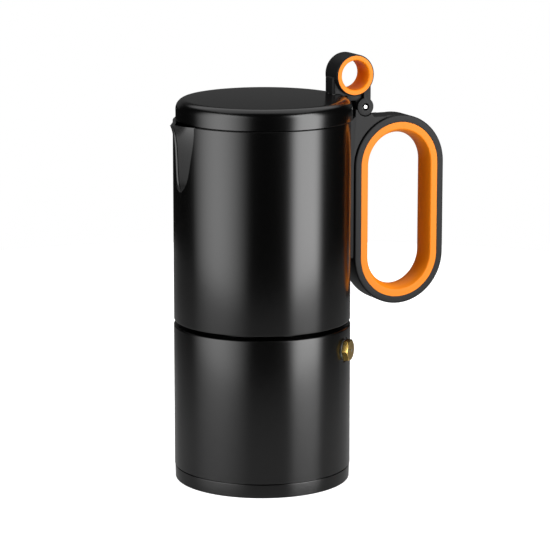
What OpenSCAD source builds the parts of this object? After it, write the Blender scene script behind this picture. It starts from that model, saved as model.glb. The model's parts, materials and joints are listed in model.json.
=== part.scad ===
// Moka pot: a stovetop espresso maker with a loop handle and a ringed lid lever.
// Millimetres, +Z up. The origin is the centre of the underside, on the pot's axis.
// The handle and the lid's hinge lie towards +X, the spout towards -X.

/* [Pot] */
// Outer diameter of the boiler
body_d = 90; // [84:1:120]
// Height of the sandwich base under the boiler
base_h = 7.1; // [5:0.1:12]
// Height of the boiler's side, from the base to its shoulder
boiler_h = 73.7; // [60:0.1:110]
// Open groove between the boiler's shoulder and the upper chamber
joint_gap = 2.2; // [1:0.1:4]
// Height of the upper chamber
chamber_h = 102.2; // [84:0.1:150]
// Height of the lid
lid_h = 10.4; // [9:0.1:16]
// Wall of the boiler
boiler_wall = 2.8; // [2:0.1:4]
// Wall of the upper chamber
chamber_wall = 2.2; // [1.6:0.1:3]
// Thickness of the boiler's floor and of the chamber's floor
floor_t = 3.2; // [2.4:0.1:5]
// Thickness of the lid's top
lid_wall = 1.8; // [1.4:0.1:2.6]
// Radius of the lid's top edge
lid_round = 5.2; // [2:0.1:6]
// How far the lid's cap is set back from the spout, towards the hinge
lid_setback = 1.2; // [0:0.1:1.5]
// Radius inside the boiler's and the chamber's lower corners
corner_round = 4; // [1:0.5:8]

/* [Sandwich base] */
// How far the base's rim stands back from the boiler's side
base_inset = 0.2; // [0.2:0.1:1.5]
// How much narrower the base is at the bottom, on the radius
base_taper = 0.2; // [0:0.1:1.5]
// Radius of the base's lower edge
base_round = 0.6; // [0.5:0.1:2]
// Sheet of the steel shell round the aluminium core
shell_t = 0.8; // [0.5:0.1:1.2]
// Width of each of the two shallow grooves in the underside
base_groove_w = 3; // [1:0.5:5]
// Depth of those grooves
base_groove_depth = 0.35; // [0.1:0.05:0.45]

/* [Threaded neck] */
// Outer diameter of the boiler's neck
neck_d = 74.4; // [60:0.1:75]
// Wall of the neck
neck_wall = 5.7; // [4.5:0.1:7]
// Height of the neck above the shoulder
neck_h = 10.6; // [8:0.1:14]
// Room for the thread between neck and skirt, on the radius
thread_room = 1.2; // [0.6:0.1:1.6]
// Thickness of the closed shoulder beside the neck
shoulder_t = 3.8; // [3:0.1:6]

/* [Funnel] */
// Sheet thickness of the funnel
funnel_t = 0.8; // [0.6:0.1:1.2]
// Depth of the coffee basket
basket_h = 21; // [16:0.5:30]
// Height of the cone under the basket
cone_h = 9; // [6:0.5:14]
// Outer diameter of the stem
stem_d = 11; // [8:0.5:14]
// Gap between the stem's foot and the boiler's floor
stem_foot_gap = 5.5; // [3:0.5:10]
// Gap between the basket and the neck's bore
basket_gap = 0.8; // [0.4:0.1:1.5]
// How far the flange reaches over the neck's rim
flange_reach = 3.3; // [2:0.1:4]

/* [Seal and filter] */
// Thickness of the gasket
gasket_t = 3; // [2.4:0.1:4]
// Width of the gasket
gasket_w = 7.6; // [6:0.1:9]
// Diameter of the holes in the filter plate and the strainer
sieve_hole_d = 1.5; // [1:0.1:2]
// Distance between the rings of holes
sieve_pitch = 4.6; // [3.6:0.1:6]
// How far the filter's perforated face hangs below its flange
filter_dish = 1.4; // [0.8:0.1:1.8]

/* [Coffee column] */
// Diameter of the column at the chamber's floor
column_base_d = 22; // [16:0.5:30]
// Diameter of the column at its top
column_top_d = 13; // [11:0.5:18]
// Diameter of the bore up the column
column_bore_d = 9; // [6:0.5:10]
// Height of the column above the chamber's floor
column_h = 52; // [35:1:70]
// Height of the outlet cap above the column
outlet_h = 7; // [6:0.5:10]
// Height of the two outlet windows
window_h = 5; // [3:0.1:5]

/* [Spout] */
// How far the spout's lip stands out from the chamber
spout_reach = 5.1; // [3:0.1:8]
// Slope of the spout's flanks at the rim, away from the chamber's side
spout_flare = 28.7; // [20:0.1:34]
// Slope of the flanks along the lower part of the spout
spout_slope = 20.6; // [14:0.1:22]
// Height of the spout
spout_h = 34; // [24:0.5:45]
// Wall of the spout
spout_wall = 2; // [1.2:0.1:2.2]
// Radius along the spout's ridge
spout_round = 1.6; // [0.8:0.1:2.5]

/* [Handle] */
// Gap between the pot and the loop, filled by the bracket
loop_gap = 4.3; // [4.2:0.1:8]
// Outer width of the loop
loop_w = 51.4; // [46:0.2:64]
// Outer height of the loop
loop_h = 98.6; // [85:0.1:120]
// Depth of the handle, from face to face
handle_depth = 14; // [13:0.5:18]
// How far the top of the loop lies below the chamber's rim
loop_drop = 1.75; // [1.5:0.05:8]
// Thickness of the black frame round the loop
frame_t = 3.6; // [3.2:0.05:4.5]
// Thickness of the coloured liner at its two edges
liner_t = 3.6; // [2.5:0.1:5]
// How much thicker the liner is half-way between them, where the fingers lie
liner_crown = 2.2; // [1:0.1:3]
// Radius of the liner's inner edges
liner_round = 0.8; // [0.5:0.1:1.5]
// Radius of the frame's outer edges
frame_round = 0.8; // [0.3:0.1:1.2]
// Width of the shadow groove between bracket and loop
groove_w = 0.9; // [0.5:0.1:1.5]
// Depth of the shadow groove
groove_depth = 1.2; // [0.5:0.1:2]
// Height of the bracket's lower end above the loop's lower end
bracket_lift = 26; // [20:0.5:30]

/* [Handle screws] */
// Diameter of the screws that hold the handle
handle_screw_d = 3.3; // [2.5:0.1:3.6]
// Diameter of their heads
handle_head_d = 7.2; // [6:0.1:7.6]
// Thickness of their heads
handle_head_t = 2.2; // [1.6:0.1:2.3]
// Distance between the two screws
handle_screw_pitch = 25; // [20:1:30]
// Height of the bosses on the chamber that the screws bite into
boss_h = 2.9; // [2:0.1:3]
// Diameter of those bosses
boss_d = 9; // [8:0.1:10]

/* [Hinge] */
// Distance from the pot's side to the hinge pin
hinge_offset = 10.2; // [9:0.1:12]
// Height of the hinge pin above the chamber's rim
hinge_rise = 3.6; // [2.5:0.1:4.5]
// Diameter of the hinge pin
pin_d = 3; // [2.4:0.1:3.8]
// Diameter of the knuckles
knuckle_d = 9.2; // [8.6:0.1:10]
// Width of the handle's knuckle
knuckle_w = 6.4; // [5:0.1:7]
// Recess round each end of the pin
pin_recess_d = 3.9; // [3.4:0.1:5]

/* [Lid lever] */
// Outer diameter of the finger ring
ring_d = 21.2; // [18:0.1:26]
// Diameter of the ring's coloured liner, outside
ring_liner_d = 20; // [17:0.1:24]
// Diameter of the finger hole
ring_hole_d = 15; // [12:0.1:18]
// Depth of the ring, from face to face
ring_depth = 13.6; // [13:0.1:16]
// Distance from the pot's side to the ring's centre
ring_offset = 4.4; // [3:0.1:5]
// Height of the ring's centre above the lid
ring_rise = 9.35; // [8.5:0.05:14]
// Width of the lever's foot
foot_w = 9.6; // [9:0.2:12.5]
// Radius of the foot's corners, on the side of the pot's axis
foot_round = 1.5; // [0.8:0.1:2]
// Bevel along the top of the foot
foot_bevel = 1.2; // [0.5:0.1:1.5]
// How far the foot stands out past the ring, towards the pot's axis
foot_reach = 1.2; // [0.5:0.1:3]

/* [Safety valve] */
// Distance from the boiler's shoulder down to the valve's axis
valve_drop = 10.8; // [10.3:0.1:30]
// Direction of the valve, turned from the handle
valve_angle = -47; // [-90:1:-20]
// Width of the valve's hexagon across its flats
valve_hex = 10; // [9:0.5:12]
// Thickness of the hexagon
valve_hex_t = 3; // [2:0.1:5]
// Diameter of the valve's threaded shank
valve_shank_d = 8; // [7:0.5:10]
// Thickness of the sealing washer
valve_washer_t = 0.8; // [0.5:0.1:1.2]
// Travel of the plunger
valve_travel = 1.2; // [0.5:0.1:1.5]

/* [Lid screws] */
// Diameter of the screws that hold the lever to the lid
lid_screw_d = 2; // [1.8:0.1:2.3]
// Diameter of their heads
lid_head_d = 3.8; // [3.4:0.1:4]
// Thickness of their heads
lid_head_t = 1.5; // [1:0.1:2]
// Distance between the two screws
lid_screw_pitch = 5.2; // [4.8:0.1:7.4]

/* [Hidden] */
$fn = 96;
fine = 180;              // facets of the large round bodies
eps = 0.01;
fit_gap = 0.03;          // radial gap of pieces pressed or screwed into each other
run_gap = 0.07;          // radial running clearance of the hinge pin
seat_gap = 0.1;          // gap between flat faces that rest on each other and lift apart
swing_gap = 0.35;        // gap between pieces that swing past each other

// Colours
black_metal = "#202224";
black_plastic = "#2b2c2e";
orange = "#f08a24";
steel = "#c9cccf";
brass = "#d8b25c";
bare_aluminium = "#b4b7ba";
rubber_white = "#e6e3da";

// Levels
body_r = body_d / 2;
chamber_r = body_r - 0.1;
lid_r = body_r - 0.4;
boiler_floor_z = base_h + floor_t;
shoulder_z = base_h + boiler_h;
rim_z = shoulder_z + neck_h;
chamber_z = shoulder_z + joint_gap;
flange_z = rim_z + seat_gap;
gasket_z = flange_z + funnel_t + seat_gap;
chamber_under_z = gasket_z + gasket_t + seat_gap;
chamber_floor_z = chamber_under_z + floor_t;
chamber_top_z = chamber_z + chamber_h;
lid_z = chamber_top_z + 0.3;
lid_top_z = lid_z + lid_h;

// Neck, seal and funnel
neck_r = neck_d / 2;
neck_bore_r = neck_r - neck_wall;
skirt_r = neck_r + thread_room;
basket_r = neck_bore_r - basket_gap;
flange_r = neck_bore_r + flange_reach;
gasket_r = flange_r + 0.8;
gasket_bore_r = gasket_r - gasket_w;
gasket_recess_r = gasket_r + 0.4;
gasket_recess_z = rim_z + 0.6;
filter_r = gasket_bore_r + 2.5;
sieve_rings = floor((gasket_bore_r - 3.5) / sieve_pitch);
filter_t = 0.8;
filter_z = chamber_under_z - seat_gap - filter_t - 0.1;
stem_r = stem_d / 2;
basket_z = flange_z - basket_h;
stem_top_z = basket_z - cone_h;
stem_foot_z = boiler_floor_z + stem_foot_gap;
strainer_z = basket_z + 0.6;

// Chamber and lid
cavity_r = chamber_r - chamber_wall;
lip_r = cavity_r - 0.5;
lip_t = 0.8;
lip_drop = 3;
lip_gap_w = 2 * body_r * sin(spout_flare / 2);
lid_bore_r = lip_r - lip_t;
lid_under_z = lid_top_z - lid_wall;
column_top_z = chamber_floor_z + column_h;
spigot_r = column_bore_d / 2 + 1.5;
column_cap_r = column_top_d / 2 + 1.3;
cap_seat_h = 5;

// Handle: the loop is a stadium in the XZ plane
loop_r = loop_w / 2;
loop_half_straight = (loop_h - loop_w) / 2;
loop_x = body_r + loop_gap + loop_r;
loop_z = chamber_top_z - loop_drop - loop_h / 2;
pocket_r = loop_r - frame_t;
liner_r = pocket_r - 0.1;
rib_h = 0.5;
rib_w = 2.8;
bracket_z = loop_z - loop_h / 2 + bracket_lift;
loop_top_z = loop_z + loop_h / 2;
loop_left = loop_x - loop_r;
counterbore_x = loop_x - pocket_r - handle_head_t - 0.8;
boss_x = chamber_r + boss_h;
screw_zs = [for (side = [-1, 1]) loop_z + side * handle_screw_pitch / 2];

// Hinge and lever
hinge_x = body_r + hinge_offset;
hinge_z = chamber_top_z + hinge_rise;
knuckle_r = knuckle_d / 2;
saddle_r = knuckle_r + swing_gap;
pin_r = pin_d / 2;
ring_x = body_r + ring_offset;
ring_z = lid_top_z + ring_rise;
ring_r = ring_d / 2;
ring_round = 0.6;
foot_x = ring_x - ring_r - foot_reach;
neck_edge_x = hinge_x + knuckle_r - 1.7;
outer_knuckle_y = knuckle_w / 2 + swing_gap;
lid_screw_x = foot_x + lid_screw_d / 2 + 0.6;
lid_screw_depth = 3.6;

// Safety valve, along its own axis from the pot's axis outwards
valve_z = shoulder_z - valve_drop;
spot_r = valve_hex / 2 + 1.5;
spot_x = sqrt(pow(body_r, 2) - pow(spot_r, 2)) - 0.1;
valve_hex_x = spot_x + valve_washer_t;
valve_face_x = valve_hex_x + valve_hex_t;
valve_shank_r = valve_shank_d / 2;
valve_boss_x = body_r - boiler_wall - 2.6;
valve_boss_r = valve_shank_r + 1.8;
valve_foot_x = valve_boss_x - 1.2;
valve_seat_x = valve_foot_x + 1.4;
chamber_bore_r = valve_shank_r - 1.5;
cap_t = 1;
cap_x = valve_face_x - cap_t;
plunger_r = chamber_bore_r - 0.3;
plunger_head_t = 1.4;
plunger_stem_r = 0.8;
plunger_x = valve_seat_x + 0.05;

// ---------- shared shapes ----------

// Half section of a disc or wall whose outer top corner is rounded
module round_top_section(r, z0, z1, f) {
    translate([0, z0]) square([r - f, z1 - z0]);
    translate([0, z0]) square([r, z1 - z0 - f]);
    translate([r - f, z1 - f]) circle(f);
}

// Half section of a cavity whose outer bottom corner is rounded
module round_bottom_section(r, z0, z1, f) {
    translate([0, z0]) square([r - f, z1 - z0]);
    translate([0, z0 + f]) square([r, z1 - z0 - f]);
    translate([r - f, z0 + f]) circle(f);
}

// Points out through the pot's side at the valve, with local Z along the valve's axis
module at_valve() {
    rotate([0, 0, valve_angle]) translate([0, 0, valve_z]) rotate([0, 90, 0]) children();
}

// Sweeps a section, drawn as radius and depth, round the loop's stadium
module loop_sweep() {
    translate([loop_x, 0, loop_z]) rotate([90, 0, 0]) {
        for (turn = [0, 180])
            rotate([0, 0, turn]) translate([0, loop_half_straight, 0])
                rotate_extrude(angle = 180) children();
        for (turn = [0, 180])
            rotate([0, 0, turn]) translate([0, loop_half_straight, 0])
                rotate([90, 0, 0]) linear_extrude(2 * loop_half_straight) children();
    }
}

// A stadium-shaped slab of the loop's height, of radius r, between two depths
module loop_slab(r, y0, y1) {
    for (side = [-1, 1])
        translate([loop_x, y1, loop_z + side * loop_half_straight])
            rotate([90, 0, 0]) cylinder(r = r, h = y1 - y0);
    translate([loop_x - r, y0, loop_z - loop_half_straight])
        cube([2 * r, y1 - y0, 2 * loop_half_straight]);
}

// A cylinder along Y on the hinge axis
module hinge_cylinder(r, y0, y1) {
    translate([hinge_x, y1, hinge_z]) rotate([90, 0, 0]) cylinder(r = r, h = y1 - y0);
}

// A profile drawn in X and Z, extruded to a width centred on Y = 0
module slab_xz(width) {
    rotate([90, 0, 0]) linear_extrude(width, center = true) children();
}

// Rings of holes round the centre, ready to be cut through a plate
module sieve_holes(z0, z1) {
    translate([0, 0, z0]) cylinder(d = sieve_hole_d, h = z1 - z0, $fn = 24);
    for (ring = [1 : sieve_rings], i = [0 : 6 * ring - 1])
        rotate([0, 0, i * 60 / ring]) translate([ring * sieve_pitch, 0, z0])
            cylinder(d = sieve_hole_d, h = z1 - z0, $fn = 24);
}

// ---------- sandwich base ----------

module base_shell_section(grow) {
    top_r = body_r - base_inset + grow;
    foot_r = top_r - base_taper;
    polygon([[0, -grow], [foot_r - base_round, -grow], [foot_r, base_round],
             [top_r, base_h - 0.4], [top_r - 0.4, base_h], [0, base_h]]);
    translate([foot_r - base_round, base_round - grow]) circle(base_round);
}

module base_shell() {
    color(black_metal) difference() {
        rotate_extrude($fn = fine) intersection() {
            base_shell_section(0);
            square([body_r, base_h]);
        }
        translate([0, 0, shell_t])
            cylinder(r = body_r - base_inset - base_taper - shell_t, h = base_h, $fn = fine);
        for (r = [body_r * 0.4, body_r * 0.68]) difference() {
            translate([0, 0, -eps])
                cylinder(r = r + base_groove_w, h = base_groove_depth + eps, $fn = fine);
            translate([0, 0, -1]) cylinder(r = r, h = 3, $fn = fine);
        }
    }
}

module base_core() {
    color(bare_aluminium) translate([0, 0, shell_t])
        cylinder(r = body_r - base_inset - base_taper - shell_t - fit_gap,
                 h = base_h - shell_t, $fn = fine);
}

// ---------- boiler ----------

module boiler_section() {
    edge = 0.8;
    neck_edge = 0.8;
    difference() {
        union() {
            polygon([[0, base_h], [body_r - 0.5, base_h], [body_r, base_h + 0.5],
                     [body_r, shoulder_z - edge], [body_r - edge, shoulder_z],
                     [neck_r, shoulder_z], [neck_r, rim_z - neck_edge],
                     [neck_r - neck_edge, rim_z], [0, rim_z]]);
            translate([body_r - edge, shoulder_z - edge]) circle(edge);
        }
        round_bottom_section(body_r - boiler_wall, boiler_floor_z,
                             shoulder_z - shoulder_t - corner_round, corner_round);
        round_top_section(body_r - boiler_wall, boiler_floor_z + corner_round,
                          shoulder_z - shoulder_t, corner_round);
        translate([0, boiler_floor_z + corner_round]) square([neck_bore_r, rim_z]);
        polygon([[0, rim_z - 0.5], [neck_bore_r, rim_z - 0.5],
                 [neck_bore_r + 0.5, rim_z + eps], [0, rim_z + eps]]);
    }
}

module boiler_body() {
    color(black_metal) difference() {
        union() {
            rotate_extrude($fn = fine) boiler_section();
            at_valve() translate([0, 0, valve_boss_x])
                cylinder(r = valve_boss_r, h = body_r - boiler_wall / 2 - valve_boss_x);
        }
        at_valve() {
            translate([0, 0, spot_x]) cylinder(r = spot_r, h = 5);
            translate([0, 0, valve_boss_x - 1]) cylinder(r = valve_shank_r, h = 12);
        }
    }
}

// ---------- safety valve ----------

module valve_body() {
    color(brass) at_valve() difference() {
        union() {
            translate([0, 0, valve_foot_x])
                cylinder(r = valve_shank_r - fit_gap, h = valve_face_x - 1 - valve_foot_x);
            translate([0, 0, valve_hex_x]) rotate([0, 0, 30])
                cylinder(r = valve_hex / 2 / cos(30), h = valve_hex_t, $fn = 6);
        }
        translate([0, 0, valve_foot_x - 1]) cylinder(r = 1.2, h = valve_hex_t + 12);
        translate([0, 0, valve_seat_x]) cylinder(r = chamber_bore_r, h = valve_hex_t + 12);
    }
}

module valve_washer() {
    color(rubber_white) at_valve() translate([0, 0, spot_x]) difference() {
        cylinder(r = valve_hex / 2 + 0.4, h = valve_washer_t);
        translate([0, 0, -1]) cylinder(r = valve_shank_r, h = valve_washer_t + 2);
    }
}

module valve_cap() {
    color(brass) at_valve() translate([0, 0, cap_x]) difference() {
        cylinder(r = chamber_bore_r - fit_gap, h = cap_t);
        translate([0, 0, -1]) cylinder(r = plunger_stem_r + 0.15, h = cap_t + 2);
    }
}

module valve_plunger() {
    color(steel) at_valve() translate([0, 0, plunger_x]) {
        cylinder(r1 = plunger_r - 0.5, r2 = plunger_r, h = 0.5);
        translate([0, 0, 0.5]) cylinder(r = plunger_r, h = plunger_head_t - 0.5);
        cylinder(r = plunger_stem_r, h = valve_face_x + 0.5 - plunger_x);
    }
}

// One open coil of round wire: rings of points along a helix, joined into a tube
module coil(mean_r, wire_r, length, turns, steps, sides) {
    rings = turns * steps;
    points = [for (i = [0 : rings], k = [0 : sides - 1])
        let (a = 360 * i / steps, b = 360 * k / sides, r = mean_r + wire_r * cos(b))
        [r * cos(a), r * sin(a), length * i / rings + wire_r * sin(b)]];
    sides_faces = [for (i = [0 : rings - 1], k = [0 : sides - 1])
        let (n = (k + 1) % sides)
        [i * sides + k, i * sides + n, (i + 1) * sides + n, (i + 1) * sides + k]];
    first_face = [for (k = [sides - 1 : -1 : 0]) k];
    last_face = [for (k = [0 : sides - 1]) rings * sides + k];
    polyhedron(points, concat(sides_faces, [first_face], [last_face]), convexity = 8);
}

module valve_spring() {
    wire_r = 0.2;
    start = plunger_x + plunger_head_t + wire_r + 0.05;
    color(steel) at_valve() translate([0, 0, start])
        coil(plunger_stem_r + 0.75, wire_r, cap_x - start - wire_r - 0.05, 4, 14, 6);
}

// ---------- funnel ----------

module funnel_body() {
    t = funnel_t;
    color(bare_aluminium) rotate_extrude($fn = fine)
        polygon([[stem_r - t, stem_foot_z], [stem_r, stem_foot_z], [stem_r, stem_top_z],
                 [basket_r, basket_z], [basket_r, flange_z],
                 [flange_r, flange_z], [flange_r, flange_z + t], [basket_r - t, flange_z + t],
                 [basket_r - t, basket_z + 0.6], [basket_r - t - 1.2, basket_z + 0.6],
                 [stem_r - t, stem_top_z + t]]);
}

module funnel_strainer() {
    color(steel) difference() {
        translate([0, 0, strainer_z])
            cylinder(r = basket_r - funnel_t - fit_gap, h = 0.7, $fn = fine);
        sieve_holes(strainer_z - 1, strainer_z + 2);
    }
}

// ---------- seal and filter ----------

module gasket() {
    color(rubber_white) rotate_extrude($fn = fine)
        polygon([[gasket_bore_r, gasket_z], [gasket_r, gasket_z],
                 [gasket_r, gasket_z + gasket_t], [filter_r + 0.2, gasket_z + gasket_t],
                 [filter_r + 0.2, filter_z - 0.1], [gasket_bore_r, filter_z - 0.1]]);
}

module filter_plate() {
    t = filter_t;
    inner = gasket_bore_r - 1;
    color(steel) difference() {
        rotate_extrude($fn = fine)
            polygon([[0, filter_z - filter_dish], [inner - 1, filter_z - filter_dish],
                     [inner, filter_z], [filter_r, filter_z], [filter_r, filter_z + t],
                     [inner - 0.6, filter_z + t], [inner - 1.6, filter_z - filter_dish + t],
                     [0, filter_z - filter_dish + t]]);
        sieve_holes(filter_z - filter_dish - 1, filter_z + 2);
    }
}

// ---------- upper chamber ----------

module chamber_section() {
    edge = 0.6;
    difference() {
        polygon([[0, chamber_z], [chamber_r - edge, chamber_z], [chamber_r, chamber_z + edge],
                 [chamber_r, chamber_top_z - 0.4], [chamber_r - 0.4, chamber_top_z],
                 [0, chamber_top_z]]);
        translate([0, chamber_z - 1]) square([skirt_r, gasket_recess_z - chamber_z + 1]);
        polygon([[0, chamber_z - eps], [skirt_r + 1, chamber_z - eps],
                 [skirt_r, chamber_z + 1], [0, chamber_z + 1]]);
        translate([0, chamber_z]) square([gasket_recess_r, chamber_under_z - chamber_z]);
        round_bottom_section(cavity_r, chamber_floor_z, chamber_top_z + 1, corner_round);
    }
}

// Outline of the spout at one level, seen from above: a V with a rounded ridge. Its ends lie
// inside the chamber's wall, so the flanks leave the round side along a crisp crease.
function spout_v(tip, slope, ridge_r) =
    let (end_y = body_r * 0.356,
         end_x = tip - end_y * tan(slope),
         centre = tip - ridge_r / cos(slope))
    concat([[end_x, -end_y]],
           [for (i = [-3 : 3]) let (a = (90 - slope) * i / 3)
               [centre + ridge_r * cos(a), ridge_r * sin(a)]],
           [[end_x, end_y]]);

// Share of the spout's reach, and the slope of its flanks, at a share t of the way down:
// a short flared lip runs into a long straight ridge, which rounds off at its foot
function spout_share(t) =
    0.44 * exp(-t / 0.13) + (0.66 - 0.22 * t) * sqrt(1 - pow(t, 8));
function spout_beta(t) = spout_slope + (spout_flare - spout_slope) * exp(-t / 0.15);

// One ring of points for each level, with the walls' faces and the two ends between them
module spout_loft(wall, top) {
    last = 12;
    levels = [for (i = [0 : last]) (1 - cos(180 * i / last)) / 2];
    shapes = [for (t = levels)
        spout_v(chamber_r + spout_share(t) * spout_reach - wall / cos(spout_beta(t)),
                spout_beta(t), max(spout_round - wall / 2, 0.4))];
    n = len(shapes[0]);
    points = [for (i = [0 : last], p = shapes[i])
        [-p[0], -p[1], chamber_top_z - levels[i] * spout_h + (i == 0 ? top : 0)]];
    walls = [for (i = [0 : last - 1], k = [0 : n - 1], half = [0, 1])
        let (m = (k + 1) % n, a = i * n, b = a + n)
        half == 0 ? [a + k, b + k, b + m] : [a + k, b + m, a + m]];
    polyhedron(points, concat(walls, [[for (k = [0 : n - 1]) k]],
                              [[for (k = [n - 1 : -1 : 0]) last * n + k]]), convexity = 4);
}

module collector_body() {
    color(black_metal) difference() {
        union() {
            rotate_extrude($fn = fine) chamber_section();
            difference() {
                spout_loft(0, 0);
                cylinder(r = cavity_r + 0.3, h = chamber_top_z + 1, $fn = fine);
            }
            for (z = screw_zs)
                translate([chamber_r - chamber_wall / 2, 0, z]) rotate([0, 90, 0])
                    cylinder(d = boss_d, h = boss_x - chamber_r + chamber_wall / 2);
        }
        spout_loft(spout_wall, 1);
        translate([0, 0, chamber_under_z - 1])
            cylinder(r = spigot_r + fit_gap, h = floor_t + 2);
        for (z = screw_zs)
            translate([chamber_r - chamber_wall + 1, 0, z]) rotate([0, 90, 0])
                cylinder(d = handle_screw_d, h = boss_h + chamber_wall);
    }
}

module coffee_column() {
    color(bare_aluminium) rotate_extrude()
        polygon([[column_bore_d / 2, chamber_under_z], [spigot_r, chamber_under_z],
                 [spigot_r, chamber_floor_z], [column_base_d / 2, chamber_floor_z],
                 [column_base_d / 2, chamber_floor_z + 2],
                 [column_base_d / 2 - 2, chamber_floor_z + 4],
                 [column_top_d / 2, column_top_z - cap_seat_h],
                 [column_top_d / 2 - 0.8, column_top_z - cap_seat_h],
                 [column_top_d / 2 - 0.8, column_top_z], [column_bore_d / 2, column_top_z]]);
}

module column_cap() {
    seat_r = column_top_d / 2 - 0.8 + fit_gap;
    top_z = column_top_z + outlet_h;
    color(bare_aluminium) difference() {
        rotate_extrude() difference() {
            round_top_section(column_cap_r, column_top_z - cap_seat_h + 0.1, top_z, 2.5);
            square([seat_r, column_top_z + window_h]);
        }
        translate([-3, -column_cap_r - 1, column_top_z + 0.2])
            cube([6, 2 * column_cap_r + 2, window_h - 0.2]);
    }
}

// ---------- handle ----------

module frame_section() {
    h = handle_depth;
    difference() {
        union() {
            translate([pocket_r, -h / 2]) square([frame_t - frame_round, h]);
            translate([pocket_r, -h / 2 + frame_round]) square([frame_t, h - 2 * frame_round]);
            for (side = [-1, 1])
                translate([loop_r - frame_round, side * (h / 2 - frame_round)]) circle(frame_round);
        }
        translate([pocket_r - eps, -rib_w / 2 - 0.1]) square([rib_h + 0.1 + eps, rib_w + 0.2]);
    }
}

// Side view of the bracket between the pot, the loop and the hinge
module bracket_outline() {
    polygon([[body_r - 3, bracket_z], [loop_left + 1.5, bracket_z], [loop_left + 1.5, loop_z],
             [loop_x, loop_top_z - 2], [loop_x, loop_top_z],
             [hinge_x + knuckle_r + 0.6, loop_top_z],
             [hinge_x + 3.5, hinge_z - 3.5], [hinge_x, hinge_z - knuckle_r + 1],
             [hinge_x - saddle_r + 0.2, hinge_z - 1], [hinge_x - saddle_r - 0.9, hinge_z - 1.2],
             [hinge_x - saddle_r - 1, hinge_z - 4.4],
             [body_r + 2, chamber_top_z - 2.9], [body_r - 3, chamber_top_z - 4.7]]);
}

module handle_frame() {
    h = handle_depth;
    far = handle_depth / 2 + 1;
    color(black_plastic) difference() {
        union() {
            loop_sweep() frame_section();
            difference() {
                slab_xz(h) bracket_outline();
                loop_slab(loop_r - 1, -far, far);
                for (side = [-1, 1]) mirror([0, side > 0 ? 1 : 0, 0]) difference() {
                    loop_slab(loop_r + groove_w, -far, -h / 2 + groove_depth);
                    loop_slab(loop_r - 1.2, -far - 1, 0);
                }
            }
            hinge_cylinder(knuckle_r, -knuckle_w / 2, knuckle_w / 2);
            translate([hinge_x - knuckle_r, -knuckle_w / 2, loop_top_z - 2])
                cube([knuckle_r + 3.5, knuckle_w, hinge_z - loop_top_z + 2]);
        }
        // Room for the pot, the lid lever's knuckles and the pin
        cylinder(r = chamber_r + seat_gap, h = chamber_top_z + 10, $fn = fine);
        for (side = [-1, 1]) hinge_cylinder(saddle_r, side > 0 ? knuckle_w / 2 : -far,
                                            side > 0 ? far : -knuckle_w / 2);
        hinge_cylinder(pin_r + fit_gap, -far, far);
        // Screws, their heads and the chamber's bosses
        for (z = screw_zs) translate([0, 0, z]) rotate([0, 90, 0]) {
            translate([0, 0, body_r - 3])
                cylinder(d = boss_d + 0.4, h = boss_x + 0.1 - body_r + 3);
            translate([0, 0, body_r]) cylinder(d = handle_screw_d + 0.4, h = loop_gap + frame_t);
            translate([0, 0, counterbore_x]) cylinder(d = handle_head_d + 0.4, h = frame_t + 2);
        }
    }
}

// The liner's section: its inner side is an arc, with a small rounding tangent to the arc and
// to the face at each edge
module insert_section() {
    h = handle_depth;
    crown_r = (pow(h / 2, 2) + pow(liner_crown, 2)) / (2 * liner_crown);
    inner_r = liner_r - liner_t - liner_crown;
    crown_x = inner_r + crown_r;
    edge_y = h / 2 - liner_round;
    edge_x = crown_x - sqrt(pow(crown_r - liner_round, 2) - pow(edge_y, 2));
    tangent_y = edge_y * crown_r / (crown_r - liner_round);
    intersection() {
        translate([crown_x, 0]) circle(crown_r, $fn = fine);
        translate([inner_r - 1, -tangent_y]) square([liner_r - inner_r + 1, 2 * tangent_y]);
    }
    translate([edge_x, -h / 2]) square([liner_r - edge_x, h]);
    for (side = [-1, 1]) translate([edge_x, side * edge_y]) circle(liner_round);
    translate([liner_r - 0.5, -rib_w / 2]) square([rib_h + 0.5, rib_w]);
}

module handle_insert() {
    color(orange) loop_sweep() insert_section();
}

module handle_screws() {
    shank_x = chamber_r - chamber_wall + 1.2;
    color(steel) for (z = screw_zs) translate([0, 0, z]) rotate([0, 90, 0]) {
        translate([0, 0, shank_x])
            cylinder(d = handle_screw_d - 2 * fit_gap, h = counterbore_x - shank_x + eps);
        translate([0, 0, counterbore_x]) cylinder(d = handle_head_d, h = handle_head_t);
    }
}

// ---------- lid ----------

// The lid's solid outside, also used to shape what sits on it
module lid_solid(grow) {
    translate([lid_setback, 0, 0]) rotate_extrude($fn = fine)
        round_top_section(lid_r + grow, lid_z, lid_top_z, lid_round);
}

module lid_cap() {
    color(black_metal) difference() {
        union() {
            lid_solid(0);
            translate([0, 0, lid_z - lip_drop]) cylinder(r = lip_r, h = lip_drop + 1, $fn = fine);
        }
        rotate_extrude($fn = fine)
            round_top_section(lid_bore_r, lid_z - lip_drop - 1, lid_under_z, 1.5);
        // The lip is left out at the spout, where the coffee passes
        translate([-body_r, -lip_gap_w / 2, lid_z - lip_drop - 1])
            cube([body_r / 2, lip_gap_w, lip_drop + 1]);
        for (side = [-1, 1]) translate([lid_screw_x, side * lid_screw_pitch / 2, 0]) {
            translate([0, 0, lid_under_z - 2]) cylinder(d = lid_head_d + 0.3, h = 2);
            translate([0, 0, lid_z]) cylinder(d = lid_screw_d + 0.3, h = lid_h + 1);
        }
    }
}

module ring_section(outer, inner, edge) {
    h = ring_depth;
    translate([inner, -h / 2]) square([outer - inner - edge, h]);
    translate([inner, -h / 2 + edge]) square([outer - inner, h - 2 * edge]);
    for (side = [-1, 1]) intersection() {
        translate([outer - edge, side * (h / 2 - edge)]) circle(edge);
        translate([inner, -h / 2]) square([outer - inner, h]);
    }
}

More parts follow.
